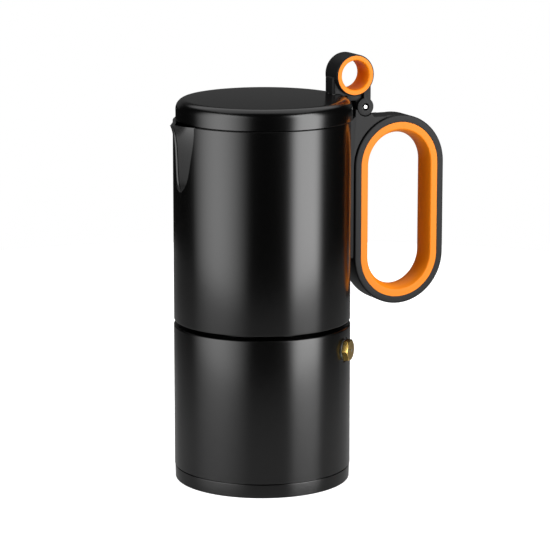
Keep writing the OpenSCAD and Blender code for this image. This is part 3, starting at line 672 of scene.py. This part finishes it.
class MOKA_OT_boiler(bpy.types.Operator):
    """Turns the boiler, bores the valve's seat in its side and winds the neck's thread"""
    bl_idname = "moka.boiler"
    bl_label = "Boiler"

    def execute(self, context):
        body, valve = context.scene.moka_body, context.scene.moka_valve
        foot, rim = ends("boiler_body")
        shoulder, neck = rim - body.neck_height, body.neck_radius
        wall, mouth = RADIUS - body.boiler_wall, neck - body.neck_wall
        # The wall stops a little above the tray's rim: a thin dark seam
        seam, recess = foot + body.seam, RADIUS - body.seam_depth
        outline = [(0, foot), (recess, foot), (recess, seam), (RADIUS, seam, SOFT),
                   (RADIUS, shoulder, body.shoulder_edge), (neck, shoulder, BOLD),
                   (neck, rim, 0.8 * MM), (mouth, rim, BOLD),
                   (mouth, shoulder - body.shoulder, 0.4 * MM),
                   (wall, shoulder - body.shoulder, body.corner),
                   (wall, foot + body.floor, body.corner), (0, foot + body.floor)]
        place, boss, past = valve_place(valve), wall - valve.boss_length, RADIUS + 5 * MM
        shape = join(turned(outline),
                     rod(valve.boss, boss, RADIUS - body.boiler_wall / 2, place, BOLD))
        shape = cut(shape, rod(valve.spot, milled_flat(valve), past, place),
                    rod(valve.shank, boss - OVER, past, place))
        finished(shape, "boiler", "base_paint", "boiler", "boiler_body")
        ridge = thread(neck - SOFT, neck + body.thread_height, shoulder + THREAD_START,
                       rim - 1.6 * MM, body)
        finished(ridge, "neck_thread", "base_paint", "boiler")
        return {"FINISHED"}


class MOKA_OT_chamber(bpy.types.Operator):
    """Turns the upper chamber, presses out its spout and winds its thread"""
    bl_idname = "moka.chamber"
    bl_label = "Upper chamber"

    def execute(self, context):
        scene = context.scene
        body, spout, handle = scene.moka_body, scene.moka_spout, scene.moka_handle
        foot, neck_top = level("collector_body", 0), level("boiler_body", 1)
        under, spigot = level("coffee_column", 0), body.column_bore + SPIGOT + FIT
        inner, skirt = CHAMBER - body.chamber_wall, body.neck_radius + body.skirt_room
        recess, step = level("gasket", 1, 0) + 0.4 * MM, neck_top + 0.6 * MM
        shape = turned([
            (spigot, under), (recess, under, SOFT), (recess, step, SOFT), (skirt, step, SOFT),
            (skirt, foot + MM), (skirt + MM, foot), (CHAMBER, foot, 0.6 * MM),
            (CHAMBER, RIM, RIM_EDGE), (inner, RIM, ROUND),
            (inner, under + body.floor, body.corner), (spigot, under + body.floor)])
        bulge = inner + 0.3 * MM
        hollow = turned([(0, foot), (bulge, foot), (bulge, RIM + 5 * MM), (0, RIM + 5 * MM)])
        shape = join(shape, cut(spout_loft(spout, 0, 0), hollow))
        shape = cut(shape, spout_loft(spout, spout.wall, OVER))
        for place in handle_screw_places(handle):
            shape = join(shape, rod(handle.boss, inner + 1.1 * MM, CHAMBER + handle.boss_height,
                                    place, ROUND))
            shape = cut(shape, rod(handle.screw_bore - SOFT, inner + MM, CHAMBER + 6 * MM,
                                   place))
        finished(shape, "upper_chamber", "body_paint", "chamber", "collector_body",
                 is_crease=crease_test(inner, RIM - spout.height + 0.5 * MM, RIM - HAIR))
        # Half a pitch above the neck's own thread, so that the two ridges pass each other
        low = neck_top - body.neck_height + THREAD_START + body.thread_pitch / 2
        ridge = thread(skirt + SOFT, skirt - body.thread_height, low, step - 2 * MM, body)
        finished(ridge, "skirt_thread", "body_paint", "chamber")
        return {"FINISHED"}


class MOKA_OT_inner_works(bpy.types.Operator):
    """Turns the funnel, the seal, the column and its cap, and dresses the two sieves"""
    bl_idname = "moka.inner_works"
    bl_label = "Funnel, seal and column"

    def execute(self, context):
        inner, body = context.scene.moka_inner, context.scene.moka_body
        self.funnel(inner)
        seal, (under, over) = level("gasket", 1, 0), ends("gasket")
        bore, step = seal - inner.seal_width, level("filter_plate", 1, 0) + SOFT
        ledge = level("filter_plate", 1) - 0.9 * MM
        finished(turned([(bore, under, 0.4 * MM), (seal, under, BOLD), (seal, over, BOLD),
                         (step, over, SOFT), (step, ledge), (bore, ledge, ROUND)]),
                 "seal", "seal_rubber", "seal", "gasket")
        self.column(inner, body)
        dress("funnel_strainer", "filter_plate")
        return {"FINISHED"}

    def funnel(self, inner):
        """A tube that widens into the basket, spun from one sheet, with a flange round the rim."""
        (foot, top), flange = ends("funnel_body"), level("funnel_body", 1, 0)
        sheet, stem, basket = inner.sheet, inner.stem, flange - inner.flange
        seat = level("funnel_strainer", 0)
        floor = seat - 0.6 * MM
        cone = floor - inner.cone
        finished(turned([
            (stem - sheet, foot, HAIR), (stem, foot, HAIR), (stem, cone, 2 * MM),
            (basket, floor, 1.2 * MM), (basket, top - sheet, 0.4 * MM),
            (flange, top - sheet, 0.15 * MM), (flange, top, ROUND),
            (basket - sheet, top, 0.9 * MM), (basket - sheet, seat),
            (basket - sheet - 1.2 * MM, seat, HAIR), (stem - sheet, cone + sheet, 2 * MM)]),
            "funnel", "bare_aluminium", "funnel", "funnel_body")

    def column(self, inner, body):
        """The tapered tube in the middle of the chamber and the cap pressed onto it."""
        foot, top = ends("coffee_column")
        base, bore, neck = half_size("coffee_column", 0), body.column_bore, inner.column_top
        cap, (low, high) = half_size("column_cap", 0), ends("column_cap")
        floor, tenon, spigot = foot + body.floor, neck - 0.8 * MM, bore + SPIGOT
        finished(turned([
            (bore, foot, SOFT), (spigot, foot, SOFT), (spigot, floor), (base, floor),
            (base, floor + 2 * MM, 0.6 * MM), (base - 2 * MM, floor + 4 * MM, 3 * MM),
            (neck, low - HAIR, SOFT), (tenon, low - HAIR), (tenon, top, SOFT),
            (bore, top, ROUND)]), "column", "bare_aluminium", "chamber", "coffee_column")
        hollow, half = high - inner.cap_roof, body.cap_window / 2
        shell = turned([(0, high), (cap, high, 2.5 * MM), (cap, low, ROUND),
                        (tenon + FIT, low, HAIR), (tenon + FIT, hollow, BOLD), (0, hollow)])
        window = block((-half, -cap - OVER, top + SOFT), (half, cap + OVER, hollow - HAIR))
        finished(cut(shell, window), "column_top", "bare_aluminium", "chamber", "column_cap")


class MOKA_OT_valve(bpy.types.Operator):
    """Turns the safety valve's body and washer, winds its spring and dresses the rest of it"""
    bl_idname = "moka.valve"
    bl_label = "Safety valve"

    def execute(self, context):
        body, valve = context.scene.moka_body, context.scene.moka_valve
        spot, place, steps = milled_flat(valve), valve_place(valve), 64
        foot = RADIUS - body.boiler_wall - valve.boss_length - 1.2 * MM
        seat = spot + valve.washer
        face, shank = seat + valve.thickness, valve.shank - FIT
        stem = turned([(0, foot), (shank, foot, BOLD), (shank, face - MM),
                       (0, face - MM)], None, steps, 3)
        nut, corner = bmesh.new(), valve.hexagon / cos(radians(30))
        ops.create_cone(nut, cap_ends=True, segments=6, radius1=corner, radius2=corner,
                        depth=valve.thickness + OVER,
                        matrix=shift(0, 0, face + OVER / 2 - valve.thickness / 2))
        # The turned chamfer that rounds the hexagon's corners on its outer face
        wide = valve.hexagon * 1.3
        chamfer = turned([(0, spot), (wide, spot), (wide, face - valve.hexagon_edge * 2),
                          (valve.hexagon - HAIR, face), (0, face)], None, 96)
        nut = cut(join(carve(nut, "INTERSECT", chamfer), stem),
                  rod(valve.bore, foot + 1.4 * MM, face + OVER),
                  rod(valve.inlet, foot - OVER, foot + 2 * MM))
        nut.transform(place)
        finished(nut, "valve_body", "brass", "boiler", "valve_body", sharp=20)
        ring = valve.hexagon - 0.3 * MM
        washer = turned([(valve.shank, spot, HAIR), (ring, spot, SOFT), (ring, seat, SOFT),
                         (valve.shank, seat, HAIR)], place, steps, 3)
        finished(washer, "valve_washer", "seal_rubber", "boiler", "valve_washer")
        dress("valve_cap", "valve_plunger")
        self.spring(valve, place)
        return {"FINISHED"}

    def spring(self, valve, place):
        """A coil of round wire, built at its rest length; nothing here shortens it as the plunger
        lifts.
        """
        out = place.to_3x3() @ Vector((0, 0, 1))
        along = [out.dot(v.co) for v in NODES["valve_spring"].data.vertices]
        radius, low, high = valve.wire, min(along), max(along)
        bm = bmesh.new()
        ops.create_circle(bm, segments=10, radius=radius,
                          matrix=shift(valve.coil, 0, low + radius) @ UPRIGHT)
        coiled(bm, high - low - 2 * radius, COIL_TURNS, COIL_TURNS * COIL_STEPS)
        coil = finished(tidied(bm, place), "relief_spring", "steel", "boiler", "valve_spring")
        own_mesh(coil)


def lid_solid(lid, grow=0.0):
    """The lid's outside as a solid, set back from the spout towards the hinge."""
    radius, bottom = half_size("lid_cap", 0) + grow, RIM + LID_SEAM
    return turned([(0, bottom), (radius, bottom, ROUND), (radius, LID_TOP + grow, lid.edge),
                   (0, LID_TOP + grow)], shift(middle("lid_cap", 0), 0, 0), corner_steps=12)


class MOKA_OT_lid(bpy.types.Operator):
    """Turns the lid with its locating lip"""
    bl_idname = "moka.lid"
    bl_label = "Lid"

    def execute(self, context):
        scene = context.scene
        body, lid, lever = scene.moka_body, scene.moka_lid, scene.moka_lever
        bottom, roof = RIM + LID_SEAM, LID_TOP - lid.wall
        inner = CHAMBER - body.chamber_wall
        lip, low = inner - lid.lip_gap, bottom - lid.lip_drop
        bore = lip - lid.lip_wall
        shape = join(lid_solid(lid), turned([(0, low), (lip, low, SOFT), (lip, bottom + MM),
                                             (0, bottom + MM)]))
        shape = cut(shape, turned([(0, low - OVER), (bore, low - OVER), (bore, roof, 1.5 * MM),
                                   (0, roof)]),
                    block((-inner - 3 * MM, -lid.opening, low - OVER),
                          (-inner / 2, lid.opening, bottom)))
        # A recess for each screw's head and a hole for its shank
        for place in lid_screw_places(lever):
            shape = cut(shape, rod(2.05 * MM, roof - 2 * MM, roof, place, steps=48),
                        rod(1.15 * MM, bottom, LID_TOP + OVER, place, steps=48))
        finished(shape, "lid", "body_paint", "lid", "lid_cap")
        return {"FINISHED"}


def swept_loop(section):
    """Carries a closed section of (distance out, depth) points, some with a corner radius, round
    the handle's loop."""
    bm = bmesh.new()
    wire(bm, [(LOOP_X + out, y, LOOP_Z + STRAIGHT, *c) for out, y, *c in section], True)
    end = bm.verts[:] + bm.edges[:]
    for side in (1, -1):
        spun = ops.spin(bm, geom=end, cent=(LOOP_X, 0, LOOP_Z + side * STRAIGHT), axis=(0, 1, 0),
                        angle=-pi, steps=LOOP_STEPS)
        drawn = ops.extrude_edge_only(bm, edges=edges_of(spun["geom_last"]))["geom"]
        points = verts_of(drawn)
        ops.translate(bm, verts=points, vec=(0, 0, -side * 2 * STRAIGHT))
        end = points + [e for e in edges_of(drawn) if all(v in points for v in e.verts)]
    return tidied(bm)


def stadium(radius, low, high):
    """A slab with the loop's outline, grown to a radius, between two depths."""
    bm = bmesh.new()
    ops.create_circle(bm, cap_ends=True, segments=2 * LOOP_STEPS, radius=radius,
                      matrix=Matrix.Rotation(pi / 2 / LOOP_STEPS, 4, "Z"))
    for v in bm.verts:
        v.co.y += copysign(STRAIGHT, v.co.y)
    raise_up(bm, high - low)
    return tidied(bm, shift(LOOP_X, -low, LOOP_Z) @ UPRIGHT)


class MOKA_OT_handle(bpy.types.Operator):
    """Sweeps the loop and its liner and moulds the bracket and the hinge's knuckle"""
    bl_idname = "moka.handle"
    bl_label = "Handle"

    def execute(self, context):
        handle = context.scene.moka_handle
        half, pocket, edge = handle.depth / 2, OUTER - handle.frame, handle.frame_edge
        shape = swept_loop([(pocket, -half, 0.15 * MM), (OUTER, -half, edge), (OUTER, half, edge),
                            (pocket, half, 0.15 * MM)])
        shape = join(shape, self.bracket(handle, half), self.knuckle(handle))
        shape = cut(shape, *self.clearances(handle, pocket, half))
        finished(shape, "handle_frame", "black_plastic", "chamber", "handle_frame")
        finished(swept_loop(self.liner(handle, pocket - HAIR, half)), "handle_liner",
                 "orange_plastic", "chamber", "handle_insert")
        dress("handle_screws")
        return {"FINISHED"}

    def liner(self, handle, outer, half):
        """The liner's section: a crowned inner side with a small rounding at each edge."""
        small, steps = handle.liner_edge, 12
        crown = (half ** 2 + handle.crown ** 2) / (2 * handle.crown)
        centre = outer - handle.liner - handle.crown + crown
        edge_y = half - small
        edge_x = centre - sqrt((crown - small) ** 2 - edge_y ** 2)
        tangent_y = edge_y * crown / (crown - small)
        ys = [tangent_y * k / steps for k in range(steps + 1)]
        upper = [(centre - sqrt(crown ** 2 - y ** 2), y) for y in ys]
        upper += arc(edge_x, edge_y, small, atan2(edge_y, edge_x - centre), pi / 2, 5)[1:]
        upper.append((outer, half))
        return [(x, -y) for x, y in reversed(upper[1:])] + upper

    def bracket(self, handle, half):
        """The web between pot, loop and hinge, cut free of the loop by a shadow groove."""
        top, left = LOOP_Z + STRAIGHT + OUTER, LOOP_X - OUTER
        foot = LOOP_Z - STRAIGHT - OUTER + handle.bracket_lift
        knuckle, saddle = handle.knuckle, HINGE_X - (handle.knuckle + SWING)
        web = prism([
            (RADIUS - 3 * MM, foot), (left + 1.5 * MM, foot), (left + 1.5 * MM, LOOP_Z),
            (LOOP_X, top - 2 * MM), (LOOP_X, top), (HINGE_X + knuckle + 0.6 * MM, top),
            (HINGE_X + 3.5 * MM, HINGE_Z - 3.5 * MM), (HINGE_X, HINGE_Z - knuckle + MM),
            (saddle + 0.2 * MM, HINGE_Z - MM), (saddle - 0.9 * MM, HINGE_Z - 1.2 * MM),
            (saddle - MM, HINGE_Z - 4.4 * MM), (RADIUS + 2 * MM, RIM - 2.9 * MM),
            (RADIUS - 3 * MM, RIM - 4.7 * MM)], half, handle.edge)
        groove, depth, past = OUTER + handle.groove_width, half - handle.groove_depth, half + OVER
        return cut(web, stadium(OUTER - MM, -past, past), stadium(groove, -past, -depth),
                   stadium(groove, depth, past))

    def knuckle(self, handle):
        """The handle's own knuckle on the hinge, in one slab with the stem that carries it."""
        low, right, radius = LOOP_Z + STRAIGHT + OUTER - 2 * MM, 3.5 * MM, handle.knuckle
        outline = arc(HINGE_X, HINGE_Z, radius, pi, -acos(right / radius), ARC_STEPS)
        outline += [(HINGE_X + right, low), (HINGE_X - radius, low)]
        return prism(outline, handle.knuckle_width / 2, SOFT)

    def clearances(self, handle, pocket, half):
        """Room for the pot, the lid lever's knuckles, the pin and the screws."""
        low, wall, hinge = level("collector_body", 0), CHAMBER + SEAT, across("hinge_pin")
        saddle, side, past = handle.knuckle + SWING, handle.knuckle_width / 2, half + OVER
        parts = [turned([(0, low), (wall, low), (wall, LID_TOP), (0, LID_TOP)]),
                 rod(saddle, side, past, hinge), rod(saddle, -past, -side, hinge),
                 rod(half_size("hinge_pin", 0) + FIT, -past, past, hinge)]
        head = LOOP_X - pocket - 3 * MM
        for place in handle_screw_places(handle):
            parts += [rod(handle.boss_bore, RADIUS - 3 * MM, CHAMBER + handle.boss_height + SEAT,
                          place, steps=64),
                      rod(handle.screw_bore, RADIUS, head + MM, place, steps=48),
                      rod(handle.head_bore, head, head + 5.6 * MM, place, steps=64)]
        return parts


class MOKA_OT_lever(bpy.types.Operator):
    """Moulds the lid's lever and its ring, and turns the ring's liner and the pin"""
    bl_idname = "moka.lever"
    bl_label = "Lid lever"

    def execute(self, context):
        scene = context.scene
        handle, lever = scene.moka_handle, scene.moka_lever
        ring, hinge, far = across("knob_insert"), across("hinge_pin"), half_size("knob_insert", 1)
        liner, hole, steps = half_size("knob_insert", 0), lever.hole, 128
        outer = level("lid_arm", 1) - RING_Z
        # The ring's band starts as a disc, with only a pinhole for the turning axis
        band = turned([(MM, -far), (outer, -far, lever.ring_edge),
                       (outer, far, lever.ring_edge), (MM, far)], ring, steps)
        near, past = handle.knuckle_width / 2 + SWING, far + OVER
        wide, neck = 2 * handle.knuckle, far - lever.recess_depth
        pin = half_size("hinge_pin", 0)
        shape = cut(join(band, *self.arm(handle, lever, outer, far)),
                    lid_solid(scene.moka_lid, 0.15 * MM),
                    rod(liner + FIT, -past, past, ring, steps=steps),
                    rod(handle.knuckle + SWING, -near, near, hinge),
                    block((HINGE_X - wide, -near, HINGE_Z - 8 * MM),
                          (HINGE_X + wide, near, HINGE_Z + 3 * MM)),
                    rod(pin + lever.pin_gap, -past, past, hinge),
                    rod(lever.pin_recess, neck, past, hinge),
                    rod(lever.pin_recess, -past, -neck, hinge),
                    *[rod(lever.screw_bore, LID_TOP - OVER, LID_TOP + 3.8 * MM, place, steps=32)
                      for place in lid_screw_places(lever)])
        finished(shape, "lid_lever", "black_plastic", "lid", "lid_arm")
        finished(turned([(hole, -far, lever.liner_edge), (liner, -far, HAIR), (liner, far, HAIR),
                         (hole, far, lever.liner_edge)], ring, steps),
                 "ring_liner", "orange_plastic", "lid", "knob_insert")
        tip, end, narrow, edge = far - HAIR, neck - 2 * MM, lever.pin_tip, lever.pin_edge
        finished(turned([(0, -tip), (narrow, -tip, edge), (narrow, -end), (pin, -end), (pin, end),
                         (narrow, end), (narrow, tip, edge), (0, tip)], hinge, 64),
                 "hinge_pin", "steel", "chamber", "hinge_pin")
        dress("lid_screws")
        return {"FINISHED"}

    def arm(self, handle, lever, outer, far):
        """The foot on the lid, the bridge under the ring, and the ears that hold the pin."""
        knuckle, start, under = handle.knuckle, level("lid_arm", 0, 0), LID_TOP - 0.9 * MM
        top, side = RING_Z - 0.8 * MM, lever.foot_width / 2
        neck, low_ring, back = HINGE_X + knuckle - 1.7 * MM, RING_Z - outer / 2, MM
        foot = block((start, -side, under), (RING_X, side, top))
        upright = [e for e in foot.edges if all(v.co.x < start + HAIR for v in e.verts)
                   and abs(e.verts[0].co.z - e.verts[1].co.z) > MM]
        soften(foot, upright, lever.foot_corner, 6)
        above = [e for e in foot.edges if all(v.co.z > top - HAIR for v in e.verts)
                 and any(v.co.x < RING_X - MM for v in e.verts)]
        soften(foot, above, lever.foot_bevel, 4)
        behind, shield = HINGE_X - knuckle, HINGE_Z + 3.2 * MM
        bridge = prism([
            (RING_X - 5 * MM, under), (RING_X - 5 * MM, top), (RING_X, top), (neck, low_ring),
            (neck, HINGE_Z + MM), (behind, HINGE_Z + MM), (behind, shield),
            (behind - 5 * MM, shield), (behind - 5 * MM, under)], side, lever.edge)
        # The two ears are one slab here, a hair thinner than the ring; the gap between them is
        # cut afterwards
        first = acos((neck + HAIR - HINGE_X) / knuckle)
        last = pi - acos(back / knuckle) - 2 * pi
        ears = prism([(neck + HAIR, low_ring)]
                     + arc(HINGE_X, HINGE_Z, knuckle, first, last, ARC_STEPS)
                     + [(HINGE_X - back, low_ring)], far - 0.05 * MM, lever.edge)
        return tidied(foot), bridge, ears


def blank_tree(owner):
    """The emptied node tree of a material, a world or a lamp."""
    owner.use_nodes = True
    owner.node_tree.nodes.clear()
    return owner.node_tree


class MOKA_OT_stage(bpy.types.Operator):
    """Sets the floor, the world, the lamps and the camera"""
    bl_idname = "moka.stage"
    bl_label = "Stage"

    def execute(self, context):
        stage = context.scene.moka_stage
        azimuth = stage.camera_azimuth
        # Into the scene, away from the camera
        ahead = Vector((-sin(azimuth), cos(azimuth), 0))
        self.floor(ahead)
        self.world(context.scene)
        for name, side_deg, reach_deg, distance, low, high, soft in LAMPS:
            a = azimuth + radians(side_deg)
            self.panel(name, (sin(a) * distance, -cos(a) * distance, (low + high) / 2),
                       (0, 0, (low + high) / 2), 2 * distance * tan(radians(reach_deg)),
                       high - low, getattr(stage, name), soft, 0.0)
        # A sheet from straight above the pot down behind it
        self.panel("top_panel", ahead * 0.34 + Vector((0, 0, 1.13)), (0, 0, 0.19), width=2.0,
                   height=1.74, radiance=stage.top_panel, soft_sides=0.2, soft_ends=0.25)
        self.camera(context.scene, stage, azimuth)
        context.scene.view_settings.view_transform = "Standard"
        return {"FINISHED"}

    def camera(self, scene, stage, azimuth):
        """A camera on a sphere round the pot."""
        camera = bpy.data.objects.new("camera", bpy.data.cameras.new("camera"))
        scene.collection.objects.link(camera)
        rise = stage.camera_elevation
        right = Vector((cos(azimuth), sin(azimuth), 0))
        back = Vector((sin(azimuth) * cos(rise), -cos(azimuth) * cos(rise), sin(rise)))
        camera.location = (right * stage.camera_aim_x + Vector((0, 0, stage.camera_aim_z))
                           + back * stage.camera_distance)
        camera.rotation_euler = (pi / 2 - rise, 0, azimuth)
        camera.data.sensor_width = 36.0
        camera.data.lens = stage.camera_lens
        camera.data.clip_end = 20.0
        scene.camera = camera

    def floor(self, ahead):
        """A round acrylic table. The pot stands toward its front."""
        bm = bmesh.new()
        ops.create_circle(bm, cap_ends=True, segments=128, radius=0.5,
                          matrix=Matrix.Translation(ahead * 0.13))
        floor = as_object(bm, "floor")
        material = bpy.data.materials.new("pale_floor")
        tree = blank_tree(material)
        # Painted light: as reflections and bounced light see it, the sheet's colour is palest
        # round the pot and darker toward its rim. This is a painted pool of light, not a real
        # fall-off of the lamps.
        place = add(tree, "TexCoord").outputs["Object"]
        reach = add(tree, "VectorMath", {0: place}, operation="LENGTH")
        painted_pool = add(tree, "MapRange", {
            "Value": reach.outputs["Value"], "From Min": 0.05, "From Max": 0.4,
            "To Min": 0.6, "To Max": 0.22})
        acrylic = add(tree, "BsdfPrincipled", {
            "Base Color": painted_pool.outputs["Result"], "Roughness": 0.15})
        matt = add(tree, "BsdfDiffuse", {"Color": (0.6, 0.6, 0.6, 1)})
        glow = add(tree, "Emission", {"Color": WHITE, "Strength": 0.85})
        both = add(tree, "AddShader", {0: matt.outputs[0], 1: glow.outputs[0]})
        add(tree, "OutputMaterial", {"Surface": self.seen(tree, both, acrylic)})
        floor.data.materials.append(material)

    def world(self, scene):
        """White to the camera, a dark room to everything else."""
        world = bpy.data.worlds.new("studio")
        tree = blank_tree(world)
        white, dim = (add(tree, "Background", {"Color": WHITE, "Strength": strength})
                      for strength in (1.0, scene.moka_stage.room))
        add(tree, "OutputWorld", {"Surface": self.seen(tree, white, dim)})
        scene.world = world

    def seen(self, tree, by_camera, by_others):
        """One shader for the camera's own rays and another for all the rest."""
        path = add(tree, "LightPath")
        return add(tree, "MixShader", {
            0: path.outputs["Is Camera Ray"], 1: by_others.outputs[0],
            2: by_camera.outputs[0]}).outputs[0]

    def panel(self, name, place, aim, width, height, radiance, soft_sides, soft_ends):
        """A rectangular lamp that fades towards its edges, over shares of its own size."""
        lamp = bpy.data.lights.new(name, "AREA")
        lamp.shape = "RECTANGLE"
        lamp.size = width
        lamp.size_y = height
        lamp.energy = radiance * pi * width * height
        tree = blank_tree(lamp)
        spot = add(tree, "NewGeometry").outputs["Parametric"]
        along = add(tree, "SeparateXYZ", {"Vector": spot}).outputs
        fade = 1.0
        for axis, soft in (("X", soft_sides), ("Y", soft_ends)):
            for end in (0.0, 1.0) if soft else ():
                rise = add(tree, "MapRange", {
                    "Value": along[axis], "From Min": end, "From Max": abs(end - soft)},
                    interpolation_type="SMOOTHSTEP").outputs["Result"]
                fade = add(tree, "Math", {0: fade, 1: rise}, operation="MULTIPLY").outputs[0]
        glow = add(tree, "Emission", {"Color": WHITE, "Strength": fade})
        add(tree, "OutputLight", {"Surface": glow.outputs[0]})
        holder = bpy.data.objects.new(name, lamp)
        bpy.context.scene.collection.objects.link(holder)
        holder.location = place
        facing = Vector(aim) - Vector(place)
        holder.rotation_euler = facing.to_track_quat("-Z", "Y").to_euler()
        holder.visible_camera = False


class MOKA_PT_panel(bpy.types.Panel):
    """Lists the pot's steps and settings in the sidebar"""
    bl_idname = "MOKA_PT_panel"
    bl_label = "Moka Pot"
    bl_space_type = "VIEW_3D"
    bl_region_type = "UI"
    bl_category = "Moka Pot"

    def draw(self, context):
        for step in STEPS:
            self.layout.operator(step.bl_idname)
        for name, group in GROUPS.items():
            box = self.layout.box()
            for setting in group.__annotations__:
                box.prop(getattr(context.scene, name), setting)


GROUPS = {"moka_" + group.__name__[4:].lower(): group for group in (
    MokaBody, MokaInner, MokaSpout, MokaLid, MokaHandle, MokaLever, MokaValve, MokaFinish,
    MokaStage)}
STEPS = (MOKA_OT_base, MOKA_OT_boiler, MOKA_OT_chamber, MOKA_OT_inner_works, MOKA_OT_valve,
         MOKA_OT_lid, MOKA_OT_handle, MOKA_OT_lever, MOKA_OT_stage)
CLASSES = tuple(GROUPS.values()) + (MOKA_PT_panel,) + STEPS


def register():
    for cls in CLASSES:
        bpy.utils.register_class(cls)
    for name, group in GROUPS.items():
        setattr(bpy.types.Scene, name, PointerProperty(type=group))


def unregister():
    for name in GROUPS:
        delattr(bpy.types.Scene, name)
    for cls in reversed(CLASSES):
        bpy.utils.unregister_class(cls)


def main():
    register()
    for step in STEPS:
        group, name = step.bl_idname.split(".")
        getattr(getattr(bpy.ops, group), name)()


if __name__ == "__main__":
    main()
